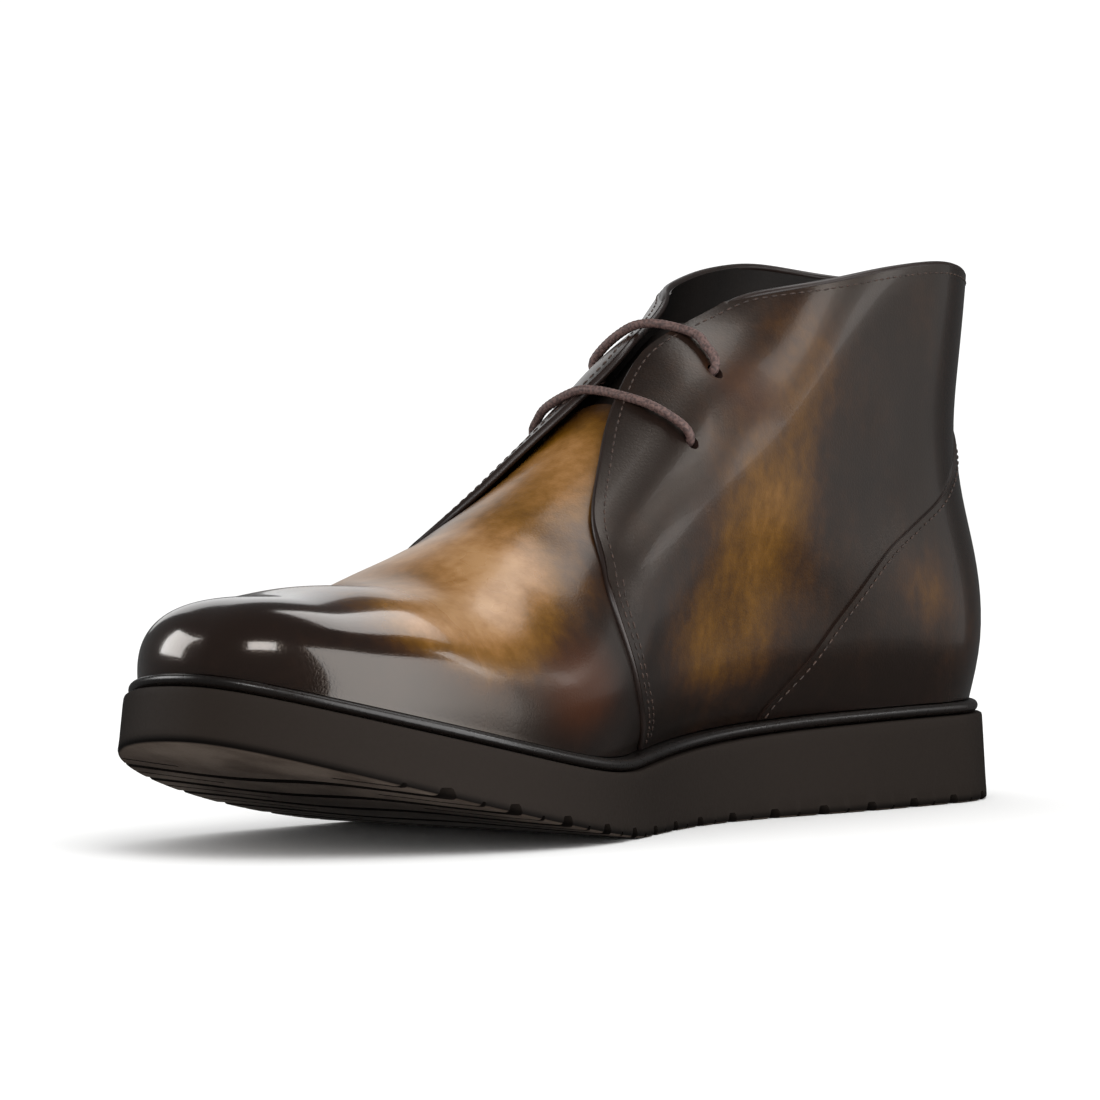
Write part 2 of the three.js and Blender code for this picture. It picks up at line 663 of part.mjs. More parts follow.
// The tongue lies against the inside of the vamp and rises behind the facings.
function makeTongue() {
  const tall = COLLAR_HEIGHT + PAST;
  const face = -(WALL + GAP + FACET_ROOM);
  const outer = lastForm(face, 0, 0, tall);
  const inner = lastForm(face - TONGUE_THICKNESS, 0, PAST, tall + PAST);
  const low = [];
  for (let i = 0; i <= TONGUE_STEPS; i += 1) {
    const x = SOLE_LENGTH * (TONGUE_START + (TONGUE_END - TONGUE_START) * (i / TONGUE_STEPS));
    low.push([x, topLine(x, face, 0) - TONGUE_DROP]);
  }
  const cutter = sideCutter([...low, [low[TONGUE_STEPS][0], tall + PAST], [low[0][0], tall + PAST]]);
  return geometryOf(outer.subtract(inner).intersect(cutter));
}

// A lace bar from the eyelet on one side, over the facings, to the eyelet on the other.
function makeLace({ along, up }) {
  const out = LAP + GAP + LACE_DIAMETER / 2;
  const x = along * SOLE_LENGTH;
  const low = up * COLLAR_HEIGHT;
  const top = topLine(x, out, 1);
  const points = [];
  for (let i = -LACE_KNOTS; i <= LACE_KNOTS; i += 1) {
    const z = top - (top - low) * (i / LACE_KNOTS) ** 2;
    const side = i < 0 ? 1 : -1;
    points.push(new THREE.Vector3(x, i === 0 ? lastSide(x, top, 1, out, 1) : lastSide(x, z, side, out, 1), z));
  }
  const shape = new THREE.Shape();
  shape.absarc(0, 0, LACE_DIAMETER / 2, 0, 2 * Math.PI);
  const path = new THREE.CatmullRomCurve3(points);
  const geometry = new THREE.ExtrudeGeometry(shape, { steps: LACE_STEPS, curveSegments: LACE_SIDES, extrudePath: path });
  return geometryOf(solid(geometry));
}

function piece(name, geometry, color, roughness) {
  const mesh = new THREE.Mesh(geometry, new THREE.MeshStandardMaterial({ color, roughness, metalness: 0 }));
  mesh.name = name;
  return mesh;
}

const boot = new THREE.Group();
boot.add(piece('outsole', makeOutsole(), 0x3a2f2a, 0.75));
boot.add(piece('midsole', makeMidsole(), 0x241c19, 0.45));
boot.add(piece('insole', makeInsole(), 0x2b1d16, 0.8));
boot.add(piece('upper', makeUpper(), 0x6b4418, 0.3));
boot.add(piece('tongue', makeTongue(), 0x3a2415, 0.55));
EYELETS.forEach((eyelet) => boot.add(piece(`lace_${eyelet.name}`, makeLace(eyelet), 0x5a4440, 0.8)));

// The origin is on the floor below the middle of the boot.
const middle = new THREE.Box3().setFromObject(boot).getCenter(new THREE.Vector3());
boot.position.set(-middle.x, -middle.y, 0);

export default boot;
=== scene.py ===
# Chukka boot for the right foot: burnished leather upper on a ridged rubber wedge sole.
# The sizes below are in millimetres, measured from the back of the heel (x), from the middle of the
# heel towards the inner side (y) and from the floor (z). Meshes are made in metres in the part's frame.
import math

import bmesh
import bpy
import numpy as np
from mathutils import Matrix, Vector
from mathutils.bvhtree import BVHTree
from mathutils.kdtree import KDTree


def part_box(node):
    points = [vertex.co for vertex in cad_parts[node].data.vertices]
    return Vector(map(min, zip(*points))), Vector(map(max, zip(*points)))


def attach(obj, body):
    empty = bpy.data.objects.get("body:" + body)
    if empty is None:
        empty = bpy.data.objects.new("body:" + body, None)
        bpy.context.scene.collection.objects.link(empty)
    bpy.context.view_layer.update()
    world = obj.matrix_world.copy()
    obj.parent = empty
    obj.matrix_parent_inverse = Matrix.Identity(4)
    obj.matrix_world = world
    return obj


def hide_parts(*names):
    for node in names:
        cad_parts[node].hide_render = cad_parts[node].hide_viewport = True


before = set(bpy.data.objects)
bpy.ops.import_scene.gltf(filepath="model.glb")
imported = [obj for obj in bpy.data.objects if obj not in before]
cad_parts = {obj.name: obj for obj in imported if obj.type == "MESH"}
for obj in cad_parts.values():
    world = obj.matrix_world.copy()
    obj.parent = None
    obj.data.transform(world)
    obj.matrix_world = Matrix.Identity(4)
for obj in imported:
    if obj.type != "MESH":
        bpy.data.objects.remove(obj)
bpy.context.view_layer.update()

# Sizes of the sole
SOLE_LENGTH = 300
HEEL_WIDTH = 69
BALL_WIDTH = 102
HEEL_THICKNESS = 22.4
BALL_THICKNESS = 14.6
TOE_THICKNESS = 13.2
TOE_SPRING = 27
FLAT_SHARE = 0.59
HEEL_CORNER = 35
TOE_CORNER_INNER = 98
TOE_CORNER_OUTER = 75
TOE_RAKE = 2.6
MIDSOLE_THICKNESS = 3
MIDSOLE_INSET = 2.4
GAP = 0.3

# Sizes of the tread
GROOVE_COUNT = 15
GROOVE_WIDTH = 3.6
GROOVE_DEPTH = 2.4
GROOVE_SLANT = 24
GROOVE_WAVE = 2.6
GROOVE_REACH = 0.6
SLIT_WIDTH = 1.1
SLIT_DEPTH = 1.2
SLIT_SPANS = ((1.0, 0.34), (-0.36, -1.0))
HEEL_PLATE = 22
TOE_PLATE = 26

# Sizes of the last and the upper
WALL = 1.9
QUARTER_WALL = 2.1
LAP = 1
COUNTER_LAP = 0.7
COUNTER_BACK = 0.3
LEDGE = 4.6
BULGE = 4
BELLY_RISE = 17
ANKLE_LEVEL = 86
ANKLE_WIDTH = 60
COLLAR_WIDTH = 62
COLLAR_HEIGHT = 138
TOE_BOX_HEIGHT = 23
TOE_BOX_LENGTH = 25
BALL_HEIGHT = 61
INSTEP_HEIGHT = 93
HEEL_CURVE = 6
HEEL_ROUND = 40
FACING_GAPE = 4
THROAT_WIDTH = 46
TONGUE_THICKNESS = 1.8
TONGUE_DROP = 15
TONGUE_ROOM = 2.6
LACE_DIAMETER = 2.3
EYELET_DIAMETER = 3.4
PAST = 12

# Shares of the length: where the sole widens, where the throat gapes, and the tongue's ends
HEEL_END = 0.15
WIDENING = 0.55
GAPE_BACK = 0.36
GAPE_BACK_RUN = 0.1
GAPE_FRONT = 0.67
GAPE_FRONT_RUN = 0.15
TONGUE_START = 0.62
TONGUE_END = 0.385

# Fullness of the rounded ends and edges, 2 for a circle's, and the curve of the toe spring
EDGE_FULLNESS = 2.1
HEEL_FULLNESS = 2.2
TOE_FULLNESS = 2.4
RIDGE_FULLNESS = 1.5
SPRING_REACH = 1.1
SPRING_POWER = 1.5

# The stitches' distances from the edges, and the top of the second row
STITCH_INSET = 2.0
SECOND_INSET = 4.2
SECOND_TOP = 62
COUNTER_INSET = 1.8
COUNTER_LIFT = 0.1

# The braid of the laces
BRAID_PITCH = 2.6
BRAID_DEPTH = 0.07
BRAID_STRANDS = 3

# Fineness of the forms
COLUMNS = 230
ROWS = 52
EDGE_STEPS = 90
EYELET_POINTS = 28
HEIGHTS_TRIED = 500
FITTING_ROUNDS = 8
FOOT_POWER = 8
LACE_SAMPLES = 400

# In metres: how near points merge, and how near a face lies to the form that it was cut from
MERGE_DISTANCE = 2e-7
ON_FORM = 0.00012

# Half widths of the sole: share of the length, inner side, outer side
OUTLINE = (
    (0, 0.49, 0.49), (0.12, 0.507, 0.507), (0.25, 0.46, 0.505), (0.4, 0.336, 0.492), (0.52, 0.354, 0.5),
    (0.64, 0.446, 0.5), (0.74, 0.485, 0.505), (0.84, 0.474, 0.5), (1, 0.4, 0.525),
)
# Thickness of the sole: share of the length, share of the heel's, share of the toe's
THICKNESS = (
    (0, 1, 0), (0.16, 0.99, 0), (0.35, 0.8, 0), (0.55, 0.28, 0), (0.68, 0.02, 0), (0.8, 0, 0.1),
    (0.9, 0, 0.5), (1, 0, 1),
)
# The last: share of the length, ledge inside and outside, belly inside and outside, ankle inside and outside
LAST = (
    (0, 1, 1, 0.7, 0.7, 0.94, 0.95), (0.12, 1.1, 1, 0.7, 0.7, 0.94, 0.95),
    (0.25, 1.4, 1.1, 1.3, 0.8, 1.01, 0.93), (0.4, 1.6, 1.1, 2, 0.5, 1.08, 0.84),
    (0.52, 1.6, 1.1, 1.8, 0.3, 1.18, 0.94), (0.64, 1.3, 1.1, 0.9, 0.4, 1.36, 1.2),
    (0.74, 1.1, 1.1, 0.5, 0.4, 1.5, 1.45), (0.84, 1, 1, 0.4, 0.4, 1.5, 1.5), (1, 1, 1, 0.3, 0.3, 1.4, 1.4),
)
# The collar's half widths: share of the length, inner side, outer side
COLLAR = ((0, 0.97, 0.97), (0.2, 1, 0.95), (0.35, 1.04, 0.84), (0.5, 1.08, 0.84), (1, 1.1, 1))
# The crest of the last: share of the length, then shares of the collar, instep, ball and toe heights
CREST = (
    (0, 1.48, 0, 0, 0), (0.2, 1.24, 0, 0, 0), (0.3, 1.07, 0, 0, 0), (0.37, 0.94, 0, 0, 0),
    (0.44, 0.42, 0.608, 0, 0), (0.54, 0, 1, 0, 0), (0.62, 0, 0.524, 0.51, 0), (0.7, 0, 0.12, 0.95, 0),
    (0.76, 0, 0, 1.02, 0), (0.84, 0, 0, 0.5, 0.57), (0.9, 0, 0, 0, 1.02), (1, 0, 0, 0, 0.92),
)
# The crest's rounding: share of the length, depth, fullness, lean of the ridge to the inner side
ROUNDING = (
    (0, 0.3, 2.1, 0.03), (0.3, 0.36, 1.9, 0.04), (0.45, 0.46, 1.9, 0.046), (0.55, 0.62, 2, 0.042),
    (0.65, 0.8, 2, 0.045), (0.75, 0.9, 2.1, 0.035), (0.88, 0.94, 2.4, 0.01), (1, 1, 2.5, 0),
)
# The line of the heel: share of the height over the feather line, distance forward
HEEL_LINE = ((0, 0.85), (0.18, 0.4), (0.32, 0.5), (0.48, 1.15), (0.62, 1.55), (0.78, 1.4), (1, 0.95))

# Edges of the panels in side view: shares of the sole's length and of the collar's height
WING_EDGE = ((0.545, 0), (0.562, 0.15), (0.599, 0.24), (0.624, 0.37), (0.622, 0.47), (0.613, 0.56))
RIM = (
    (0.47, 0.9), (0.42, 0.915), (0.378, 0.926), (0.33, 0.947), (0.28, 0.964), (0.2, 0.99),
    (0.12, 1), (0.04, 0.975), (0, 0.96),
)
VAMP_EDGE = (
    (0.49, 0), (0.52, 0.2), (0.56, 0.34), (0.566, 0.46), (0.535, 0.56), (0.498, 0.68), (0.492, 0.8),
)
COUNTER_EDGE = (
    (0.375, 0), (0.362, 0.19), (0.347, 0.24), (0.298, 0.34), (0.223, 0.466), (0.168, 0.524),
    (0.117, 0.577), (0.06, 0.665), (0.022, 0.77),
)
# The throat from above: share of the length, half opening from the ridge as a share of THROAT_WIDTH
THROAT = (
    (0.64, 0.78), (0.618, 0.63), (0.602, 0.48), (0.555, 0.304), (0.526, 0.205), (0.49, 0.116),
    (0.459, 0.076), (0.43, 0.105), (0.4, 0.15), (0.366, 0.222), (0.34, 0.3), (0.29, 0.4),
)
LOWER_EYELET = (0.481, 0.679)
UPPER_EYELET = (0.426, 0.803)


# Curves and the surface of the last
def natural(table, column):
    """A natural cubic spline through one column of a table, over its first column."""
    at = np.array([row[0] for row in table], float)
    value = np.array([row[column] for row in table], float)
    count = len(at)
    rows = np.eye(count)
    right = np.zeros(count)
    for i in range(1, count - 1):
        before = at[i] - at[i - 1]
        after = at[i + 1] - at[i]
        rows[i, i - 1:i + 2] = before, 2 * (before + after), after
        right[i] = 6 * ((value[i + 1] - value[i]) / after - (value[i] - value[i - 1]) / before)
    bend = np.linalg.solve(rows, right)

    def evaluate(where):
        t = np.clip(where, at[0], at[-1])
        k = np.clip(np.searchsorted(at, t, side="left") - 1, 0, count - 2)
        span = at[k + 1] - at[k]
        a = (at[k + 1] - t) / span
        b = (t - at[k]) / span
        cubic = ((a ** 3 - a) * bend[k] + (b ** 3 - b) * bend[k + 1]) * span * span
        return a * value[k] + b * value[k + 1] + cubic / 6
    return evaluate


def smooth(value):
    t = np.clip(value, 0, 1)
    return t * t * (3 - 2 * t)


def round_end(distance, fullness=EDGE_FULLNESS):
    t = np.clip(distance, 0, 1)
    return (1 - (1 - t) ** fullness) ** (1 / fullness)


def curves(table):
    return [natural(table, column) for column in range(1, len(table[0]))]


share_in, share_out = curves(OUTLINE)
heel_share, toe_share = curves(THICKNESS)
# The ledge, the belly, the ankle and the collar, each inside and then outside
last_shares = curves(LAST) + curves(COLLAR)
crest_parts = curves(CREST)
rounding_depth, rounding_full, ridge_lean = curves(ROUNDING)
heel_line = natural(HEEL_LINE, 1)


def sole_half(s, side):
    width = HEEL_WIDTH + (BALL_WIDTH - HEEL_WIDTH) * smooth((s - HEEL_END) / WIDENING)
    return width * (share_in(s) if side > 0 else share_out(s))


def toe_corner(side):
    return TOE_CORNER_INNER if side > 0 else TOE_CORNER_OUTER


def outline(x, side, inset):
    heel = round_end((x - inset) / (HEEL_CORNER - inset))
    toe = round_end((SOLE_LENGTH - inset - x) / (toe_corner(side) - inset))
    return (sole_half(x / SOLE_LENGTH, side) - inset) * heel * toe


def floor_line(x):
    share = (x / SOLE_LENGTH - FLAT_SHARE) / (1 - FLAT_SHARE)
    return TOE_SPRING * np.clip(share, 0, SPRING_REACH) ** SPRING_POWER


def sole_top(x):
    s = x / SOLE_LENGTH
    toward_heel = (HEEL_THICKNESS - BALL_THICKNESS) * heel_share(s)
    toward_toe = (TOE_THICKNESS - BALL_THICKNESS) * toe_share(s)
    return floor_line(x) + BALL_THICKNESS + toward_heel + toward_toe


def feather(x):
    """The height at which the upper meets the midsole."""
    return sole_top(x) + GAP + MIDSOLE_THICKNESS + GAP


def heel_back(z):
    return HEEL_CURVE * heel_line((z - feather(0.0)) / (COLLAR_HEIGHT - feather(0.0)))


def crest(x, out, gape):
    """The height of the last's ridge at a distance out, where gape 1 opens the throat and 0 doesn't."""
    s = x / SOLE_LENGTH
    shaft = COLLAR_HEIGHT * crest_parts[0](s) + INSTEP_HEIGHT * crest_parts[1](s)
    foot = BALL_HEIGHT * crest_parts[2](s) + (feather(x) + TOE_BOX_HEIGHT) * crest_parts[3](s)
    front = smooth((GAPE_FRONT - s) / GAPE_FRONT_RUN)
    return shaft + foot + gape * FACING_GAPE * smooth((s - GAPE_BACK) / GAPE_BACK_RUN) * front + out


def last_end(out):
    return SOLE_LENGTH - LEDGE + out


def top_line(x, out, gape):
    slope = (crest(x + 1, 0, gape) - crest(x - 1, 0, gape)) / 2
    rise = crest(x, out * np.sqrt(1 + slope * slope), gape) - feather(x)
    return feather(x) + rise * round_end((last_end(out) - x) / (TOE_BOX_LENGTH + out), TOE_FULLNESS)


def last_half(x, z, side, out):
    s = np.clip(x / SOLE_LENGTH, 0, 1)
    ledge, belly, ankle, collar = (share(s) for share in last_shares[0 if side > 0 else 1::2])
    feather_half = sole_half(s, side) - LEDGE * ledge
    belly_half = feather_half + BULGE * belly
    ankle_half = ANKLE_WIDTH / 2 * ankle
    collar_half = COLLAR_WIDTH / 2 * collar
    belly_level = feather(x) + BELLY_RISE
    to_belly = np.sin(math.pi / 2 * np.clip((z - feather(x)) / BELLY_RISE, 0, 1))
    half = feather_half + (belly_half - feather_half) * to_belly
    half = half + (ankle_half - belly_half) * smooth((z - belly_level) / (ANKLE_LEVEL - belly_level))
    half = half + (collar_half - ankle_half) * smooth((z - ANKLE_LEVEL) / (COLLAR_HEIGHT - ANKLE_LEVEL))
    heel = round_end((x - heel_back(z) + out) / (HEEL_ROUND + out), HEEL_FULLNESS)
    toe = round_end((last_end(out) - x) / (toe_corner(side) - LEDGE + out))
    return (half + out) * heel * toe


def last_side(x, z, side, out, gape):
    """The y of the last's surface on one side, at a distance out from the vamp's face."""
    s = np.clip(x / SOLE_LENGTH, 0, 1)
    top = top_line(x, out, gape)
    depth = np.maximum(top - feather(x), 1) * rounding_depth(s)
    turned = round_end((top - z) / depth, rounding_full(s))
    ridge = BALL_WIDTH * ridge_lean(s) * (1 - round_end((top - z) / depth, RIDGE_FULLNESS))
    toe = round_end((last_end(out) - x) / TOE_BOX_LENGTH)
    return side * last_half(x, z, side, out) * turned + ridge * toe


def through(table, wide=SOLE_LENGTH, high=COLLAR_HEIGHT):
    """A smooth curve through a table of side-view points."""
    knots = [np.array((row[0] * wide, row[1] * high)) for row in table]
    knots = [2 * knots[0] - knots[1]] + knots + [2 * knots[-1] - knots[-2]]
    spans = len(knots) - 3
    points = []
    for step in range(EDGE_STEPS + 1):
        t = spans * step / EDGE_STEPS
        k = min(int(t), spans - 1)
        p0, p1, p2, p3 = knots[k:k + 4]
        d0, d1, d2 = (math.sqrt(np.linalg.norm(b - a)) for a, b in ((p0, p1), (p1, p2), (p2, p3)))
        leave = ((p1 - p0) / d0 - (p2 - p0) / (d0 + d1) + (p2 - p1) / d1) * d1
        meet = ((p2 - p1) / d1 - (p3 - p1) / (d1 + d2) + (p3 - p2) / d2) * d1
        w = t - k
        square = -3 * p1 + 3 * p2 - 2 * leave - meet
        cube = 2 * p1 - 2 * p2 + leave + meet
        points.append(p1 + leave * w + square * w ** 2 + cube * w ** 3)
    return np.array(points)


# Meshes
outsole_low, outsole_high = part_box("outsole")
widest = outline(np.linspace(0, SOLE_LENGTH, 2000), 1, 0).max()
SHIFT = np.array((outsole_low[0], outsole_high[1] - widest / 1000, 0))
scene = bpy.context.scene


def metres(points):
    return np.asarray(points, float) / 1000 + SHIFT


def stand(name, data):
    """An object in the scene from a mesh, a lamp or a camera."""
    thing = bpy.data.objects.new(name, data)
    scene.collection.objects.link(thing)
    return thing


def mesh_piece(name, points, faces):
    """An object from points in millimetres and lists of corners, its doubles merged."""
    mesh = bpy.data.meshes.new(name)
    mesh.from_pydata(metres(points).tolist(), [], faces)
    work = bmesh.new()
    work.from_mesh(mesh)
    bmesh.ops.remove_doubles(work, verts=work.verts, dist=MERGE_DISTANCE)
    bmesh.ops.dissolve_degenerate(work, edges=work.edges, dist=MERGE_DISTANCE / 2)
    work.to_mesh(mesh)
    work.free()
    return stand(name, mesh)


def strip_faces(rows, count):
    """The corners of the faces between each row of points and the next, each row closed in itself."""
    index = np.arange(rows * count).reshape(rows, count)
    here, there = index[:-1], index[1:]
    return np.stack((here, np.roll(here, -1, 1), np.roll(there, -1, 1), there), -1).reshape(-1, 4).tolist()


def loft(name, loops):
    """A skin through loops of points, with both ends shut."""
    loops = np.asarray(loops, float)
    rows, count, _ = loops.shape
    faces = strip_faces(rows, count)
    faces.append(list(range(count))[::-1])
    faces.append(list(range((rows - 1) * count, rows * count)))
    return mesh_piece(name, loops.reshape(-1, 3), faces)


def column_shares(count):
    return (1 - np.cos(math.pi * np.arange(count + 1) / count)) / 2


def last_form(name, out, gape, foot, head):
    """The whole last at a distance out, its foot below the feather line and its head cut flat."""
    end = last_end(out)
    share = column_shares(COLUMNS)[:, None]
    level = np.sin(math.pi / 2 * np.arange(ROWS + 1) / ROWS)[None, :]
    sides = []
    for side in (1, -1):
        x = end * share + 0 * level
        for _ in range(FITTING_ROUNDS):
            base = feather(x) - foot * (1 - share ** FOOT_POWER)
            z = base + (np.minimum(top_line(x, out, gape), head) - base) * level
            x = (heel_back(z) - out) * (1 - share) + end * share
        y = last_side(x, z, side, out, gape)
        y[0] = 0
        y[-1] = 0
        sides.append(np.stack((x, y, z), -1))
    return crease(loft(name, np.concatenate((sides[0], sides[1][:, ::-1]), 1)))


# Soft creases, as side-view lines: start, end, half width, depth, and 1 or -1 for one side alone
CREASES = (
    ((196, 74), (205, 46), 7, 0.55, 0),
    ((207, 68), (214, 44), 6, 0.4, 0),
    ((184, 62), (190, 44), 6, 0.35, 0),
    ((96, 70), (58, 78), 9, 0.55, 0),
    ((104, 86), (70, 97), 8, 0.35, 0),
    ((120, 60), (84, 52), 9, 0.4, 1),
)
# The ridges beside a crease, as shares of its depth and half width, and slight waves in all the leather
BESIDE_SHARE = 0.55
BESIDE_PLACE = 1.7
WAVE_HEIGHT = 0.12
WAVE_ALONG = 0.115
WAVE_UP = 0.12
WAVE_SLANT = 0.031
WAVE_START = 0.6
# Lengths over which the relief fades in, and where the plain toe starts
MIDDLE_FADE = 8
SOLE_FADE = 14
HEEL_FADE = 30
TOE_FADE = 60
TOE_PLAIN = 285


def relief(points):
    """How far the leather stands out of or sinks into the last's surface."""
    x, z = points[:, 0], points[:, 2]
    total = WAVE_HEIGHT * np.sin(x * WAVE_ALONG + WAVE_START) * np.sin(z * WAVE_UP + x * WAVE_SLANT)
    for (x0, z0), (x1, z1), wide, depth, side in CREASES:
        along = np.array((x1 - x0, z1 - z0), float)
        reach = np.linalg.norm(along)
        along /= reach
        t = (x - x0) * along[0] + (z - z0) * along[1]
        off = -(x - x0) * along[1] + (z - z0) * along[0]
        ends = smooth((t + wide) / (2 * wide)) * smooth((reach + wide - t) / (2 * wide))
        ridges = BESIDE_SHARE * np.exp(-((np.abs(off) - BESIDE_PLACE * wide) / wide) ** 2)
        trough = np.exp(-(off / wide) ** 2) - ridges
        chosen = 1 if side == 0 else smooth(side * points[:, 1] / MIDDLE_FADE)
        total = total - depth * trough * ends * chosen
    above = smooth((z - feather(x)) / SOLE_FADE)
    return total * above * smooth(x / HEEL_FADE) * smooth((TOE_PLAIN - x) / TOE_FADE)


def crease(thing):
    """The relief pressed into a form, along its normals."""
    mesh = thing.data
    place = np.empty(len(mesh.vertices) * 3)
    normal = np.empty_like(place)
    mesh.vertices.foreach_get("co", place)
    mesh.vertex_normals.foreach_get("vector", normal)
    place = place.reshape(-1, 3)
    inside = (place - SHIFT) * 1000
    place = place + normal.reshape(-1, 3) * relief(inside)[:, None] / 1000
    mesh.vertices.foreach_set("co", place.ravel())
    mesh.update()
    return thing


def cut(body, tool, how="DIFFERENCE"):
    """A body cut by a tool, or cut down to what lies inside it."""
    step = body.modifiers.new("cut", "BOOLEAN")
    step.operation = how
    step.solver = "MANIFOLD"
    step.object = tool
    ready = body.evaluated_get(bpy.context.evaluated_depsgraph_get())
    mesh = bpy.data.meshes.new_from_object(ready)
    body.modifiers.remove(step)
    body.data = mesh


def drop(*things):
    for thing in things:
        bpy.data.objects.remove(thing)


def anticlockwise(points):
    """A closed outline, turned round where it runs clockwise."""
    flat = np.asarray(points, float)
    area = np.sum(flat[:, 0] * np.roll(flat[:, 1], -1) - np.roll(flat[:, 0], -1) * flat[:, 1])
    return flat[::-1] if area < 0 else flat


def side_cutter(points, name="side_cutter"):
    """A straight cutter across the boot from a closed side-view outline."""
    flat = anticlockwise(points)
    near = np.column_stack((flat[:, 0], np.full(len(flat), 2.0 * BALL_WIDTH), flat[:, 1]))
    far = near * (1, -1, 1)
    return loft(name, (near, far))


def plan_cutter(points):
    """A straight upright cutter from a closed outline in plan view."""
    flat = anticlockwise(points)
    low = np.column_stack((flat, np.zeros(len(flat))))
    return loft("plan_cutter", (low, low + (0, 0, 2.0 * COLLAR_HEIGHT)))


def tree_of(thing):
    return BVHTree.FromObject(thing, bpy.context.evaluated_depsgraph_get())


# The panels of the upper
tall = COLLAR_HEIGHT + PAST
behind = -PAST
ahead = SOLE_LENGTH + PAST
wing = through(WING_EDGE)
rim = through(RIM)
vamp_line = through(VAMP_EDGE)
counter_line = through(COUNTER_EDGE)
throat = through(THROAT, SOLE_LENGTH, THROAT_WIDTH)
throat_ridge = BALL_WIDTH * ridge_lean(throat[:, 0] / SOLE_LENGTH)

# The forms that the panels are cut from: name, distances out of the face and the back, and gape
forms = {}
for name, face_out, back_out, gape in (
    ("vamp", 0, -WALL, 0),
    ("quarters", LAP, LAP - QUARTER_WALL, 1),
    ("counter", LAP + COUNTER_LAP, COUNTER_BACK, 0),
):
    face = last_form(name + "_face", face_out, gape, PAST / 3, tall)
    back = last_form(name + "_back", back_out, gape, PAST, tall + PAST)
    forms[name] = (face, back)
face_trees = {name: (tree_of(face), tree_of(back)) for name, (face, back) in forms.items()}

feather_x = np.linspace(behind, ahead, 160)
under = side_cutter([*zip(feather_x, feather(feather_x)), (ahead, -PAST), (behind, -PAST)], "under")
quarter_side = side_cutter([*wing, (wing[-1][0], rim[0][1]), *rim, (behind, rim[-1][1]), (behind, 0)])
vamp_side = side_cutter([(ahead, 0), (ahead, tall), (vamp_line[-1][0], tall), *vamp_line[::-1]])
counter_side = side_cutter([*counter_line, (behind, counter_line[-1][1]), (behind, 0)])
throat_hole = plan_cutter([
    *zip(throat[:, 0], throat_ridge + throat[:, 1]),
    *zip(throat[::-1, 0], (throat_ridge - throat[:, 1])[::-1]),
])


def eyelet_cutter(eyelet):
    turn = 2 * math.pi * np.arange(EYELET_POINTS) / EYELET_POINTS
    x = eyelet[0] * SOLE_LENGTH + EYELET_DIAMETER / 2 * np.cos(turn)
    z = eyelet[1] * COLLAR_HEIGHT + EYELET_DIAMETER / 2 * np.sin(turn)
    return side_cutter(list(zip(x, z)), "eyelet")


def cut_out(name, face, back, side, *more):
    """A panel: the form of its face less that of its back, within a side-view outline."""
    piece = stand(name, face.data.copy())
    cut(piece, back)
    cut(piece, side, "INTERSECT")
    for tool in more:
        cut(piece, tool)
    return piece


vamp = cut_out("vamp", *forms["vamp"], vamp_side, under)
quarters = cut_out("quarters", *forms["quarters"], quarter_side, throat_hole, under)
for eyelet in (LOWER_EYELET, UPPER_EYELET):
    punch = eyelet_cutter(eyelet)
    cut(quarters, punch)
    drop(punch)
counter = cut_out("counter", *forms["counter"], counter_side, under)

tongue_face = last_form("tongue_face", -TONGUE_ROOM, 0, 0, tall)
tongue_back = last_form("tongue_back", -TONGUE_ROOM - TONGUE_THICKNESS, 0, PAST, tall + PAST)
tongue_x = np.linspace(TONGUE_START, TONGUE_END, 60) * SOLE_LENGTH
tongue_low = list(zip(tongue_x, top_line(tongue_x, -TONGUE_ROOM, 0) - TONGUE_DROP))
tongue_side = side_cutter([*tongue_low, (tongue_x[-1], tall + PAST), (tongue_x[0], tall + PAST)])
tongue = cut_out("tongue_leather", tongue_face, tongue_back, tongue_side)


# The sole
def slab(name, rings):
    """A slab on the sole's outline: rings of inset and height, from the bottom to the top."""
    share = column_shares(COLUMNS)
    loops = []
    for side in (1, -1):
        for inset, height in (rings if side > 0 else rings[::-1]):
            x = inset + (SOLE_LENGTH - 2 * inset) * share
            half = outline(x, side, inset)
            half[0] = 0
            half[-1] = 0
            loops.append(np.stack((x, side * half, height(x)), -1))
    loops = np.stack(loops, 1)
    return mesh_piece(name, loops.reshape(-1, 3), strip_faces(len(loops), loops.shape[1]))


def wall_height(share):
    return lambda x: floor_line(x) + share * (sole_top(x) - floor_line(x))


def above_floor(rise):
    return lambda x: floor_line(x) + rise


def below_top(fall):
    return lambda x: sole_top(x) - fall


def above_gap(rise):
    return lambda x: sole_top(x) + GAP + rise


# The sole's rounded edges, as insets and distances from the floor or the top, and shares of its wall
LOWER_EDGE = ((1.1, 0), (0.55, 0.12), (0.15, 0.45), (0, 1.0))
UPPER_EDGE = ((1.28, 0.7), (1.42, 0.25), (1.8, 0))
WALL_SHARES = (0.25, 0.45, 0.65, 0.85)
sole_rings = [(inset, above_floor(rise)) for inset, rise in LOWER_EDGE]
sole_rings += [(TOE_RAKE / 2 * share, wall_height(share)) for share in WALL_SHARES]
sole_rings += [(inset, below_top(fall)) for inset, fall in UPPER_EDGE]
outsole = slab("outsole_rubber", sole_rings)

# A groove's section: shares of its half width, share of its depth, and the shoulder's millimetres
GROOVE_MOUTH = 1.1
GROOVE_SHOULDER = 0.86
GROOVE_FLOOR = 0.6
MOUTH_SHARE = 0.9
SHOULDER_FALL = 0.5


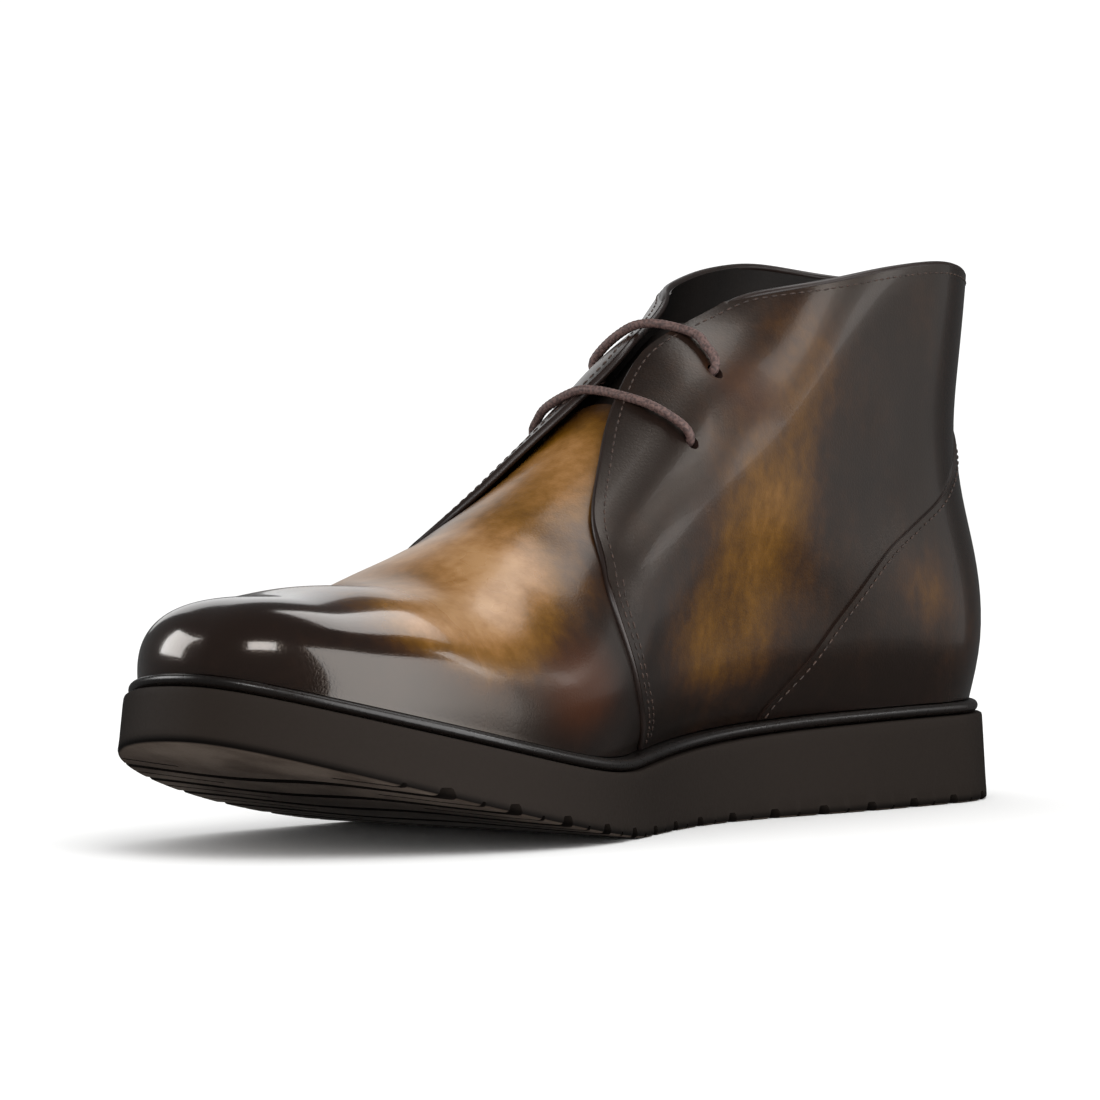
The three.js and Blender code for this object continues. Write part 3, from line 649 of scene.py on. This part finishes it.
def groove(x, width, depth, start=1.0, end=-1.0, steps=44):
    """A wavy slanting groove across the tread, from the inner to the outer side."""
    loops = []
    for i in range(steps + 1):
        across = start + (end - start) * i / steps
        y = across * BALL_WIDTH * GROOVE_REACH
        centre = x - GROOVE_SLANT * 0.5 * across + GROOVE_WAVE * math.sin(across * math.pi * 2)
        top = float(floor_line(centre)) + depth
        half = width / 2
        wall = (
            (GROOVE_MOUTH, -PAST), (GROOVE_MOUTH, top - depth * MOUTH_SHARE),
            (GROOVE_SHOULDER, top - SHOULDER_FALL), (GROOVE_FLOOR, top),
        )
        front = [(centre + half * share, y, height) for share, height in wall]
        back = [(centre - half * share, y, height) for share, height in wall[::-1]]
        loops.append(front + back)
    return loft("groove", loops)


groove_span = SOLE_LENGTH - HEEL_PLATE - TOE_PLATE
for number in range(GROOVE_COUNT):
    at = HEEL_PLATE + groove_span * (number + 0.5) / GROOVE_COUNT
    trench = groove(at, GROOVE_WIDTH, GROOVE_DEPTH)
    cut(outsole, trench)
    drop(trench)
    for start, end in SLIT_SPANS:
        slit = groove(at + groove_span / GROOVE_COUNT / 2, SLIT_WIDTH, SLIT_DEPTH, start, end, 14)
        cut(outsole, slit)
        drop(slit)

strip_round = MIDSOLE_THICKNESS / 2
strip_rings = [
    (MIDSOLE_INSET + strip_round - strip_round * math.cos(turn),
     above_gap(strip_round * (1 + math.sin(turn))))
    for turn in np.linspace(-math.pi / 2, math.pi / 2, 11)
]
strip = slab("midsole_strip", strip_rings)


# Paths of the seams, on the surface of a panel
def on_surface(tree, points, lift=0.0):
    """Points in millimetres drawn to the nearest place on a panel's face, and the normals there."""
    places = []
    normals = []
    for point in points:
        where, normal, _, _ = tree.find_nearest(Vector(metres(point)))
        places.append((np.array(where) - SHIFT) * 1000 + np.array(normal) * lift)
        normals.append(np.array(normal))
    return np.array(places), np.array(normals)


def even(points, spacing):
    """The same line with its points at an even spacing."""
    points = np.asarray(points, float)
    steps = np.linalg.norm(np.diff(points, axis=0), axis=1)
    run = np.concatenate(((0,), np.cumsum(steps)))
    wanted = np.linspace(0, run[-1], max(2, int(run[-1] / spacing) + 1))
    return np.column_stack([np.interp(wanted, run, points[:, axis]) for axis in range(points.shape[1])])


def softened(points, rounds):
    """The same line with its corners rounded off a little in each round."""
    points = points.copy()
    for _ in range(rounds):
        points[1:-1] = (points[:-2] + 2 * points[1:-1] + points[2:]) / 4
    return points


# Where the quarter's edge passes from the wing to the throat and on to the rim, and the room at the joins
THROAT_LEVEL = 0.3
FACING_RISE = 8
UNDER_RIM = 0.2
BEHIND_RIM = 20
JOIN_ROOM = 0.5
JOIN_FALL = 1.0
RIM_ROOM = 0.4


def quarter_edge(side):
    """The free edge of a quarter, from the sole up the wing, along the facing and round the rim."""
    out = LAP - QUARTER_WALL / 2
    low = [point for point in wing if point[1] > feather(point[0])]
    line = []
    for x, z in low:
        y = last_side(x, z, side, out, 1)
        ridge = BALL_WIDTH * ridge_lean(x / SOLE_LENGTH)
        gap = np.interp(x, throat[::-1, 0], throat[::-1, 1])
        if z > THROAT_LEVEL * COLLAR_HEIGHT and abs(y - ridge) < gap:
            break
        line.append((x, float(y), z))
    last = line[-1]
    rising = []
    for x, gap in throat:
        y = BALL_WIDTH * ridge_lean(x / SOLE_LENGTH) + side * gap
        heights = np.linspace(feather(x) + FACING_RISE, top_line(x, out, 1) - 0.01, HEIGHTS_TRIED)
        offs = side * (last_side(x, heights, side, out, 1) - y)
        over = np.nonzero(offs > 0)[0]
        if len(over) == 0:
            continue
        z = heights[over[-1]]
        if x > last[0] + JOIN_ROOM and z < last[2]:
            continue
        limit = np.interp(x, rim[::-1, 0], rim[::-1, 1])
        if z > limit - UNDER_RIM and x < rim[0][0] + BEHIND_RIM:
            break
        if z >= last[2] - JOIN_FALL or x < last[0]:
            rising.append((x, float(y), float(z)))
    line += rising
    end_x = line[-1][0]
    for x, z in rim:
        if heel_back(z) - out < x < end_x - RIM_ROOM:
            line.append((x, float(last_side(x, z, side, out, 1)), z))
    x, _, z = line[-1]
    line.append((heel_back(z) - out, 0.0, z))
    return np.array(line)


def side_path(side_line, side, out):
    """A side-view line laid on one side of the last, from the feather line up."""
    return np.array([(x, float(last_side(x, z, side, out, 0)), z) for x, z in side_line if z > feather(x)])


def beside(path, tree, distance, lift=0.0):
    """A line that follows an edge at a distance, on the panel's face, and its normals."""
    places, normals = on_surface(tree, path)
    along = np.gradient(places, axis=0)
    along /= np.linalg.norm(along, axis=1)[:, None]
    across = np.cross(normals, along)
    return on_surface(tree, places + across * distance, lift)


edges = {side: softened(even(quarter_edge(side), 1.0), 20) for side in (1, -1)}
counter_edges = {side: side_path(counter_line, side, LAP + COUNTER_LAP) for side in (1, -1)}


def tube(name, path, radius, sides, relief_of=None):
    """A round rod along a path, closed at both ends."""
    path = np.asarray(path, float)
    along = np.gradient(path, axis=0)
    along /= np.linalg.norm(along, axis=1)[:, None]
    across = np.cross(along[0], (0, 0, 1.0))
    if np.linalg.norm(across) < 0.2:
        across = np.cross(along[0], (0, 1.0, 0))
    loops = []
    run = 0.0
    for i, (point, ahead_way) in enumerate(zip(path, along)):
        across = across - ahead_way * np.dot(across, ahead_way)
        across /= np.linalg.norm(across)
        up = np.cross(ahead_way, across)
        turn = 2 * math.pi * np.arange(sides) / sides
        if i:
            run += np.linalg.norm(point - path[i - 1])
        wide = radius if relief_of is None else radius * relief_of(turn, run)
        loops.append(point + (np.cos(turn) * wide)[:, None] * across + (np.sin(turn) * wide)[:, None] * up)
    return loft(name, loops)


def joined(name, things):
    """One object from several."""
    work = bmesh.new()
    for thing in things:
        work.from_mesh(thing.data)
    mesh = bpy.data.meshes.new(name)
    work.to_mesh(mesh)
    work.free()
    drop(*things)
    return stand(name, mesh)


edge_roll = joined("folded_edge", [
    tube("edge", softened(even(edges[side], 0.8), 2), QUARTER_WALL / 2 + 0.02, 14) for side in (1, -1)
])


# Laces: over the facings from eyelet to eyelet, and down behind them inside
def braid(turn, run):
    wave = 2 * math.pi * run / BRAID_PITCH
    strands = BRAID_STRANDS * turn
    return 1 + BRAID_DEPTH * np.cos(strands + wave) * np.cos(strands - wave)


# Each lace, from the inner eyelet over that facing, the throat and the outer facing to its eyelet.
# On a facing: along, up and distance out. In the throat: along, across and up.
LOWER_END = ((144.3, 90.5, -2.2), (144.3, 92.6, -1.7), (144.3, 93.7, 0.4))
UPPER_END = ((127.8, 107.6, -2.2), (127.8, 109.7, -1.7), (127.8, 110.8, 0.4))
LOWER_LACE = {
    "near": (*LOWER_END, (145.8, 96.6, 2.5), (148, 100.2, 2.5), (150.2, 103, 2.5)),
    "throat": ((151.2, 6, 106.1), (151, 1.8, 106.4), (150.2, -2.4, 106)),
    "far": ((149.4, 101.6, 2.5), (147.4, 98.6, 2.3), (145.4, 96, 2.2), *LOWER_END[::-1]),
}
UPPER_LACE = {
    "near": (*UPPER_END, (127.6, 114, 2.5), (127.2, 117.4, 2.5), (126.8, 119.6, 2.7)),
    "throat": ((127.2, 6, 122.6), (127.6, 1.6, 122.7), (127.9, -2.2, 121.9)),
    "far": ((128, 118, 2.5), (128, 115.2, 2.4), (127.9, 112.8, 2), *UPPER_END[::-1]),
}


def lace_path(route):
    """The middle line of a lace through its route."""
    ends = [
        [(x, float(last_side(x, z, side, out, 1)), z) for x, z, out in route[part]]
        for part, side in (("near", 1), ("far", -1))
    ]
    knots = np.array([*ends[0], *route["throat"], *ends[1]])
    run = np.concatenate(((0,), np.cumsum(np.linalg.norm(np.diff(knots, axis=0), axis=1) ** 0.5)))
    fine = np.linspace(0, run[-1], LACE_SAMPLES)
    path = np.column_stack([natural(list(zip(run, knots[:, axis])), 1)(fine) for axis in range(3)])
    return softened(even(path, 0.35), 6)


lace_bars = {
    name: tube(name, lace_path(route), LACE_DIAMETER / 2, 18, braid)
    for name, route in (("lace_bar_lower", LOWER_LACE), ("lace_bar_upper", UPPER_LACE))
}


# Nodes, and the stitches made with them
def add_node(tree, kind, settings=None, values=None):
    """A node with its settings, its inputs given as values or as the sockets that they come from."""
    made = tree.nodes.new(kind)
    for key, value in (settings or {}).items():
        setattr(made, key, value)
    for key, value in (values or {}).items():
        if isinstance(value, bpy.types.NodeSocket):
            tree.links.new(value, made.inputs[key])
        else:
            made.inputs[key].default_value = value
    return made


def stitch_tree():
    """Geometry Nodes that lay stitches along a line, each on the leather."""
    tree = bpy.data.node_groups.new("stitch_rows", "GeometryNodeTree")
    face = tree.interface
    face.new_socket("Line", in_out="INPUT", socket_type="NodeSocketGeometry")
    for label, value in (("Pitch", 0.0026), ("Length", 0.0019), ("Thickness", 0.0005)):
        socket = face.new_socket(label, in_out="INPUT", socket_type="NodeSocketFloat")
        socket.default_value = value
    face.new_socket("Thread", in_out="INPUT", socket_type="NodeSocketMaterial")
    face.new_socket("Stitches", in_out="OUTPUT", socket_type="NodeSocketGeometry")

    def add(kind, values=None, settings=None):
        return add_node(tree, kind, settings, values).outputs[0]

    given = tree.nodes.new("NodeGroupInput").outputs
    curve = add("GeometryNodeMeshToCurve", {0: given["Line"]})
    spaced = add("GeometryNodeResampleCurve", {"Curve": curve, "Length": given["Pitch"]}, {"mode": "LENGTH"})
    ball = add("GeometryNodeMeshUVSphere", {"Segments": 8, "Rings": 6, "Radius": 0.5})
    thick = given["Thickness"]
    size = add("ShaderNodeCombineXYZ", {"X": given["Length"], "Y": thick, "Z": thick})
    grain = add("GeometryNodeTransform", {"Geometry": ball, "Scale": size})
    tangent = add("GeometryNodeInputTangent")
    lift = add("GeometryNodeInputNamedAttribute", {"Name": "lift"}, {"data_type": "FLOAT_VECTOR"})
    along = add("FunctionNodeAlignRotationToVector", {"Vector": tangent}, {"axis": "X"})
    turned = add("FunctionNodeAlignRotationToVector", {"Rotation": along, "Vector": lift},
                 {"axis": "Z", "pivot_axis": "X"})
    placed = add("GeometryNodeInstanceOnPoints", {"Points": spaced, "Instance": grain, "Rotation": turned})
    real = add("GeometryNodeRealizeInstances", {0: placed})
    dressed = add("GeometryNodeSetMaterial", {"Geometry": real, "Material": given["Thread"]})
    add_node(tree, "NodeGroupOutput", None, {0: dressed})
    return tree


STITCH_TREE = stitch_tree()


def stitch_row(name, rows, material):
    """Stitches along lines of points and normals, as one plain mesh."""
    points = []
    lifts = []
    links = []
    for places, normals in rows:
        first = len(points)
        points += metres(places).tolist()
        lifts += normals.tolist()
        links += [(first + i, first + i + 1) for i in range(len(places) - 1)]
    mesh = bpy.data.meshes.new(name)
    mesh.from_pydata(points, links, [])
    mesh.attributes.new("lift", "FLOAT_VECTOR", "POINT").data.foreach_set("vector", np.ravel(lifts))
    line = stand(name, mesh)
    step = line.modifiers.new("stitches", "NODES")
    step.node_group = STITCH_TREE
    for item in STITCH_TREE.interface.items_tree:
        if item.in_out == "INPUT" and item.name == "Thread":
            step[item.identifier] = material
    ready = line.evaluated_get(bpy.context.evaluated_depsgraph_get())
    line.data = bpy.data.meshes.new_from_object(ready)
    line.modifiers.clear()
    line.data.shade_smooth()
    return line


# Materials
class Value:
    """A socket of a material, on which sums and products add Math nodes."""

    def __init__(self, finish, socket):
        self.finish = finish
        self.socket = socket

    def maths(self, operation, first, second):
        return self.finish.node("ShaderNodeMath", {"operation": operation}, {0: first, 1: second})

    def __add__(self, other):
        return self.maths("ADD", self, other)

    def __sub__(self, other):
        return self.maths("SUBTRACT", self, other)

    def __mul__(self, other):
        return self.maths("MULTIPLY", self, other)

    __radd__ = __add__


class Finish:
    """A material in the making: node adds any node, and the other methods the usual ones."""

    def __init__(self, name):
        self.material = bpy.data.materials.new(name)
        self.material.use_nodes = True
        self.tree = self.material.node_tree
        self.tree.nodes.clear()

    def node(self, kind, settings=None, values=None, output=0):
        sockets = {key: getattr(value, "socket", value) for key, value in (values or {}).items()}
        return Value(self, add_node(self.tree, kind, settings, sockets).outputs[output])

    def ramp(self, level, stops):
        """A soft colour ramp through stops of a level and a colour."""
        made = add_node(self.tree, "ShaderNodeValToRGB", None, {"Fac": level.socket})
        made.color_ramp.interpolation = "B_SPLINE"
        elements = made.color_ramp.elements
        while len(elements) < len(stops):
            elements.new(0.5)
        for element, (position, shade) in zip(elements, stops):
            element.position = position
            element.color = shade
        return Value(self, made.outputs[0])

    def place(self):
        return self.node("ShaderNodeTexCoord", output="Object")

    def noise(self, scale, detail, seed=0.0, stretch=(1, 1, 1), rough=0.5):
        start = (seed, seed * 0.7, -seed)
        mapped = {"Vector": self.place(), "Scale": stretch, "Location": start}
        where = self.node("ShaderNodeMapping", None, mapped)
        values = {"Vector": where, "Scale": scale, "Detail": detail, "Roughness": rough}
        return self.node("ShaderNodeTexNoise", None, values)

    def band(self, value, low, high, to_high=1.0):
        """Softly from 0 at low to to_high at high."""
        return self.node("ShaderNodeMapRange", {"interpolation_type": "SMOOTHSTEP"},
                         {0: value, 1: low, 2: high, 3: 0.0, 4: to_high})

    def mix(self, factor, first, second):
        return self.node("ShaderNodeMix", {"data_type": "RGBA"}, {0: factor, 6: first, 7: second}, output=2)

    def attribute(self, name):
        return self.node("ShaderNodeAttribute", {"attribute_name": name}, output="Fac")

    def bump(self, height, distance, strength):
        values = {"Height": height, "Distance": distance, "Strength": strength}
        return self.node("ShaderNodeBump", None, values)

    def finish(self, values):
        shader = self.node("ShaderNodeBsdfPrincipled", None, values)
        add_node(self.tree, "ShaderNodeOutputMaterial", None, {"Surface": shader.socket})
        return self.material


def color(red, green, blue):
    """A colour from its 0 to 255 values on a screen."""
    parts = [((c / 255 + 0.055) / 1.055) ** 2.4 if c > 10 else c / 255 / 12.92 for c in (red, green, blue)]
    return (*parts, 1)


def burnished_leather():
    """Hand-dyed calf: amber rubbed through to espresso at the edges, under a high polish; its darkness also
    holds painted shade on the vamp and a little painted sheen.
    """
    f = Finish("burnished_leather")
    # The dye's darkness, with the painted shade and painted sheen that each panel carries.
    depth = f.attribute("dye_and_painted_light")
    cloud = f.noise(26, 4, 2.3)
    strokes = f.noise(70, 4, 5.1, (1, 1, 0.4))
    speckle = f.noise(260, 5, 1.7, (1, 1, 0.8), 0.65)
    level = depth + (cloud - 0.5) * 0.36 + (strokes - 0.5) * 0.44 + (speckle - 0.5) * 0.4
    dyed = f.ramp(level, (
        (0.0, color(160, 122, 80)), (0.16, color(136, 94, 46)), (0.34, color(104, 68, 6)),
        (0.5, color(80, 50, 5)), (0.68, color(50, 29, 14)), (0.84, color(33, 21, 15)),
        (1.0, color(23, 15, 12)),
    ))
    rust = f.mix(f.band(f.attribute("rust"), 0.1, 0.9, 0.75), dyed, color(68, 31, 5))
    cells = {"Scale": 900.0, "Vector": f.place()}
    veins = f.node("ShaderNodeTexVoronoi", {"feature": "DISTANCE_TO_EDGE"}, cells)
    pores = f.noise(1400, 2, 9.0)
    grain = f.band(veins, 0.0, 0.25) * 0.5 + pores * 0.5
    polish = f.attribute("polish")
    rough = 0.29 + (cloud - 0.5) * 0.08 - polish * 0.13
    return f.finish({
        "Base Color": rust, "Roughness": rough,
        "Specular IOR Level": 0.42, "Specular Tint": (1, 0.86, 0.74, 1),
        "Coat Weight": 0.06 + polish * 0.64, "Coat Roughness": 0.07, "Coat IOR": 1.5,
        "Normal": f.bump(grain, 0.00004, 0.35),
    })


def lining_leather(name="lining_leather"):
    """Plain dark leather, unpolished."""
    f = Finish(name)
    cloud = f.noise(40, 4, 3.0)
    grain = f.noise(900, 3, 4.0)
    return f.finish({
        "Base Color": f.mix(f.band(cloud, 0.3, 0.7), color(22, 16, 13), color(32, 24, 19)),
        "Roughness": 0.5 + grain * 0.15, "Specular IOR Level": 0.3,
        "Normal": f.bump(grain, 0.00006, 0.5),
    })


def edge_paint():
    """The dark paint of the cut and folded edges."""
    f = Finish("edge_paint")
    cloud = f.noise(120, 3, 6.0)
    return f.finish({
        "Base Color": f.mix(cloud, color(24, 16, 14), color(46, 29, 21)),
        "Roughness": 0.32 + cloud * 0.12, "Normal": f.bump(f.noise(600, 2), 0.00005, 0.4),
    })


def rubber(name, light, dark, rough, specular, tread=False):
    """Matt rubber, on a tread dusty underneath and dark in its grooves."""
    f = Finish(name)
    cloud = f.noise(18, 4, 1.0)
    fine = f.noise(1100, 3, 2.0)
    shade = f.mix(f.band(cloud, 0.3, 0.7), dark, light)
    if tread:
        worn = f.mix(f.band(f.noise(60, 4), 0.3, 0.7), color(66, 56, 49), color(88, 78, 70))
        down = f.node("ShaderNodeSeparateXYZ", None, {0: f.node("ShaderNodeTexCoord", output="Normal")}, "Z")
        shade = f.mix(f.band(down, -0.55, -0.9), shade, worn)
        shade = f.mix(f.band(f.attribute("depth"), 0.6, 2.4), shade, color(38, 32, 28))
    return f.finish({
        "Base Color": shade, "Roughness": rough + fine * 0.2, "Specular IOR Level": specular,
        "Normal": f.bump(fine, 0.00008, 0.4),
    })


def thread(name, first, second):
    """Twisted cord in two shades."""
    f = Finish(name)
    twist = f.noise(1500, 2, 7.0)
    return f.finish({
        "Base Color": f.mix(f.band(twist, 0.35, 0.65), first, second), "Roughness": 0.55 + twist * 0.2,
        "Normal": f.bump(twist, 0.00008, 0.6),
    })


LEATHER = burnished_leather()
LINING = lining_leather()
EDGE = edge_paint()
THREAD = thread("waxed_thread", color(38, 26, 20), color(70, 48, 36))
SOLE_RUBBER = rubber("sole_rubber", color(17, 12, 9), color(12, 8, 6), 0.5, 0.06, True)
MIDSOLE_RUBBER = rubber("midsole_rubber", color(24, 18, 15), color(16, 12, 10), 0.2, 0.5)
LACE = thread("lace_cord", color(70, 50, 47), color(104, 78, 72))


# Soft ovals of light, dark or red dye, two of the light ones being painted sheen (the vamp's at 232, 46 and
# the counter's at 50, 56): along, up, radius along, radius up, turn in degrees, weight
VAMP_PALE_DYE_AND_SHEEN = (
    (170, 90, 26, 12, -32, 0.85), (208, 66, 30, 15, -22, 0.92), (244, 55, 22, 10, -8, 0.85),
    # This oval paints the sheen low on the vamp's side; it is not dye.
    (232, 46, 16, 8, -8, 0.5),
)
VAMP_DARK = ((192, 64, 14, 8, -28, 0.5), (194, 44, 12, 12, 0, 0.45), (224, 76, 9, 5, -24, 0.2))
QUARTER_PALE_DYE_AND_SHEEN = (
    (126, 56, 24, 26, 0, 0.55), (116, 86, 20, 30, 14, 0.5), (98, 112, 15, 20, 10, 0.3),
    # The oval at 50, 56 is a painted sheen on the counter; it is not dye.
    (140, 42, 18, 14, 0, 0.42), (50, 56, 16, 12, 20, 0.35),
)
VAMP_RUST = ((208, 37, 17, 12, -6, 0.9),)
QUARTER_RUST = ((120, 106, 14, 12, 0, 0.5), (148, 74, 12, 18, 0, 0.25))

# The dye's darkness in all, at the seams (on the vamp this is painted shade beside the quarters' edges), at
# the toe, where its border leans, and at the foot
DYE_DARK = 0.95
SEAM_POWER = 1.3
TOE_DARK = 0.9
TOE_DARK_START = 262
TOE_DARK_LEVEL = 22
TOE_DARK_TOP = 26
TOE_DARK_LEAN = 1.6
FOOT_DARK = 0.5
FOOT_DARK_LEVEL = 16
FOOT_DARK_RUN = 14
# The polish of the toe and the heel, and the run over which it and the dark toe fade in
TOE_POLISH_START = 236
HEEL_POLISH = 0.5
HEEL_POLISH_END = 46
FADE_RUN = 30


def spots(table, points):
    """How strongly soft oval spots cover each point."""
    bare = np.ones(len(points))
    for x, z, long, high, turn, weight in table:
        c, s = math.cos(math.radians(turn)), math.sin(math.radians(turn))
        dx, dz = points[:, 0] - x, points[:, 2] - z
        along = (dx * c + dz * s) / long
        up = (-dx * s + dz * c) / high
        bare *= 1 - weight * np.exp(-along ** 2 - up ** 2)
    return 1 - bare


def points_of(thing):
    place = np.empty(len(thing.data.vertices) * 3)
    thing.data.vertices.foreach_get("co", place)
    return (place.reshape(-1, 3) - SHIFT) * 1000


def nearest(points, lines):
    whole = np.concatenate(lines)
    tree = KDTree(len(whole))
    for i, point in enumerate(whole):
        tree.insert(point, i)
    tree.balance()
    return np.array([tree.find(point)[2] for point in points])


def paint(thing, name, values):
    made = thing.data.attributes.new(name, "FLOAT", "POINT")
    made.data.foreach_set("value", np.asarray(values, np.float32))


def dye_and_painted_light(thing, lines, seam_dye_and_shade, seam_reach, lights, darks, reds):
    """How dark, red and polished each point of a panel is; besides dye, the darkness holds painted shade and
    painted sheen.
    """
    points = points_of(thing)
    x = points[:, 0]
    rise = points[:, 2] - feather(x)
    dark = DYE_DARK - DYE_DARK * spots(lights, points)
    seam = np.exp(-(nearest(points, lines) / seam_reach) ** SEAM_POWER)
    lean = TOE_DARK_LEAN * (TOE_DARK_LEVEL - np.clip(rise, 0, TOE_DARK_TOP))
    toe = smooth((x - TOE_DARK_START + lean) / FADE_RUN)
    low = smooth((FOOT_DARK_LEVEL - rise) / FOOT_DARK_RUN)
    dark = 1 - (1 - dark) * (1 - seam_dye_and_shade * seam) * (1 - TOE_DARK * toe) * (1 - FOOT_DARK * low)
    paint(thing, "dye_and_painted_light", 1 - (1 - dark) * (1 - spots(darks, points)))
    paint(thing, "rust", spots(reds, points))
    heel = smooth((HEEL_POLISH_END - x) / FADE_RUN) * HEEL_POLISH
    paint(thing, "polish", np.maximum(smooth((x - TOE_POLISH_START) / FADE_RUN), heel))


def cover(thing, *materials):
    """The materials of a piece, in place of those that it had."""
    thing.data.materials.clear()
    for material in materials:
        thing.data.materials.append(material)


def dress(thing):
    """The outside, the lining and the cut edge of a panel each get their own finish."""
    outer, inner = face_trees[thing.name]
    cover(thing, LEATHER, LINING, EDGE)
    slots = []
    for face in thing.data.polygons:
        if outer.find_nearest(face.center)[3] < ON_FORM:
            slots.append(0)
        elif inner.find_nearest(face.center)[3] < ON_FORM:
            slots.append(1)
        else:
            slots.append(2)
    thing.data.polygons.foreach_set("material_index", slots)
    smooth_shade(thing, 35)


def smooth_shade(thing, angle):
    """Smooth faces, with a sharp edge wherever they turn by more than an angle in degrees."""
    thing.data.shade_smooth()
    thing.data.set_sharp_from_angle(angle=math.radians(angle))


for panel in (vamp, quarters, counter):
    dress(panel)
throat_lines = [edges[1], edges[-1]]
counter_lines = [counter_edges[1], counter_edges[-1]]
# On the vamp the darkening beside the quarters' edges is painted shade under those edges; on the quarters
# and the counter the seam darkening is dye.
dye_and_painted_light(vamp, throat_lines, 0.35, 3.0, VAMP_PALE_DYE_AND_SHEEN, VAMP_DARK, VAMP_RUST)
dye_and_painted_light(quarters, throat_lines + counter_lines, 0.75, 7.0, QUARTER_PALE_DYE_AND_SHEEN, (), QUARTER_RUST)
dye_and_painted_light(counter, counter_lines, 0.75, 7.0, QUARTER_PALE_DYE_AND_SHEEN, (), ())

for thing, material, angle in (
    (tongue, LINING, 40), (edge_roll, EDGE, 40), (outsole, SOLE_RUBBER, 30), (strip, MIDSOLE_RUBBER, 50),
    *((bar, LACE, 70) for bar in lace_bars.values()),
):
    cover(thing, material)
    smooth_shade(thing, angle)
sole_points = points_of(outsole)
paint(outsole, "depth", sole_points[:, 2] - floor_line(sole_points[:, 0]))
cover(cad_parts["insole"], lining_leather("sock_leather"))

quarter_tree = face_trees["quarters"][0]
counter_tree = face_trees["counter"][0]
stitch_lines = []
for side in (1, -1):
    stitch_lines.append(beside(edges[side], quarter_tree, -side * STITCH_INSET))
    foot_edge = edges[side][edges[side][:, 2] < SECOND_TOP]
    stitch_lines.append(beside(foot_edge, quarter_tree, -side * SECOND_INSET))
stitches = stitch_row("edge_stitches", stitch_lines, THREAD)
counter_rows = [
    beside(softened(even(counter_edges[side], 1.0), 2), counter_tree, -side * COUNTER_INSET, COUNTER_LIFT)
    for side in (1, -1)
]
counter_stitches = stitch_row("counter_stitches", counter_rows, THREAD)

# Riding and replacing
for thing in (vamp, quarters, counter, edge_roll, tongue, outsole, strip, stitches, counter_stitches,
              *lace_bars.values()):
    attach(thing, "root")
for thing in (vamp, quarters, counter, edge_roll):
    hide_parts("upper")
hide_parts("tongue")
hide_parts("outsole")
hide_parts("midsole")
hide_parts("lace_lower")
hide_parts("lace_upper")

# The forms and cutters that the pieces were made with
drop(*forms["vamp"], *forms["quarters"], *forms["counter"], tongue_face, tongue_back)
drop(under, quarter_side, vamp_side, counter_side, throat_hole, tongue_side)

# Floor, light and camera
floor_mesh = bpy.data.meshes.new("floor")
floor_mesh.from_pydata([(-4, -4, 0), (4, -4, 0), (4, 4, 0), (-4, 4, 0)], [], [(0, 1, 2, 3)])
floor = stand("floor", floor_mesh)
pale = Finish("pale_floor")
floor_mesh.materials.append(pale.finish({
    "Base Color": (0.93, 0.93, 0.925, 1), "Roughness": 1.0, "Specular IOR Level": 0.0,
}))
floor.visible_glossy = False

# The backdrop is white, but in the leather's reflections the room around the soft boxes is dim.
world = bpy.data.worlds.new("studio")
scene.world = world
world.use_nodes = True
room = world.node_tree
room.nodes["Background"].inputs["Color"].default_value = (1, 1, 1, 1)
mirrored_ray = add_node(room, "ShaderNodeLightPath").outputs["Is Glossy Ray"]
dim = add_node(room, "ShaderNodeMapRange", None, {"Value": mirrored_ray, "To Min": 1.12, "To Max": 0.09})
room.links.new(dim.outputs[0], room.nodes["Background"].inputs["Strength"])


def soft_box(name, place, aim, wide, high, power, mirrored=True):
    """A soft box that the leather mirrors, or one that only lights it."""
    lamp = bpy.data.lights.new(name, "AREA")
    lamp.shape = "RECTANGLE"
    lamp.size = wide
    lamp.size_y = high
    lamp.energy = power
    holder = stand(name, lamp)
    holder.location = place
    holder.rotation_euler = (Vector(aim) - Vector(place)).to_track_quat("-Z", "Y").to_euler()
    holder.visible_camera = False
    holder.visible_glossy = mirrored
    holder.visible_diffuse = not mirrored


BOOT_MIDDLE = (0.05, 0, 0.06)
BOX_REACH = 1.5


def bearing(turn, rise, reach):
    """A place at an angle from the toe towards the inner side and up, seen from the boot."""
    flat = math.cos(math.radians(rise)) * reach
    height = math.sin(math.radians(rise)) * reach + BOOT_MIDDLE[2]
    return (flat * math.cos(math.radians(turn)), flat * math.sin(math.radians(turn)), height)


soft_box("key", bearing(60, 48, 1.6), BOOT_MIDDLE, 1.0, 1.0, 9, False)
# Name, turn and rise seen from the boot, width, height and watts
for name, turn, rise, wide, high, power in (
    ("box_over", 168, 62, 1.0, 0.6, 6.5), ("box_side", 121, 30, 0.2, 0.6, 2.6),
    ("box_streak", 139, 16, 0.14, 0.3, 0.7), ("box_near", 37, 27, 0.5, 0.34, 5),
    ("box_front", -62, 20, 0.7, 0.75, 10), ("box_far", -132, 20, 0.8, 0.7, 1.5),
):
    soft_box(name, bearing(turn, rise, BOX_REACH), BOOT_MIDDLE, wide, high, power)
soft_box("panel_low", (0.06, 0.38, 0.09), (0.08, 0.04, 0.05), 0.42, 0.36, 1.7)
soft_box("panel_heel", (-0.46, 0.28, 0.12), (-0.1, 0.03, 0.05), 0.3, 0.24, 0.11)

CAMERA_PLACE = (1346.98, 910.46, 111.56)
CAMERA_AIM = (155.6, -6.2, 67.1)
eye = Vector(metres(CAMERA_PLACE))
lens = bpy.data.cameras.new("camera")
lens.sensor_width = 36
lens.lens = 200.8
lens.clip_end = 50
camera = stand("camera", lens)
camera.location = eye
camera.rotation_euler = (Vector(metres(CAMERA_AIM)) - eye).to_track_quat("-Z", "Y").to_euler()
scene.camera = camera
scene.view_settings.view_transform = "Standard"
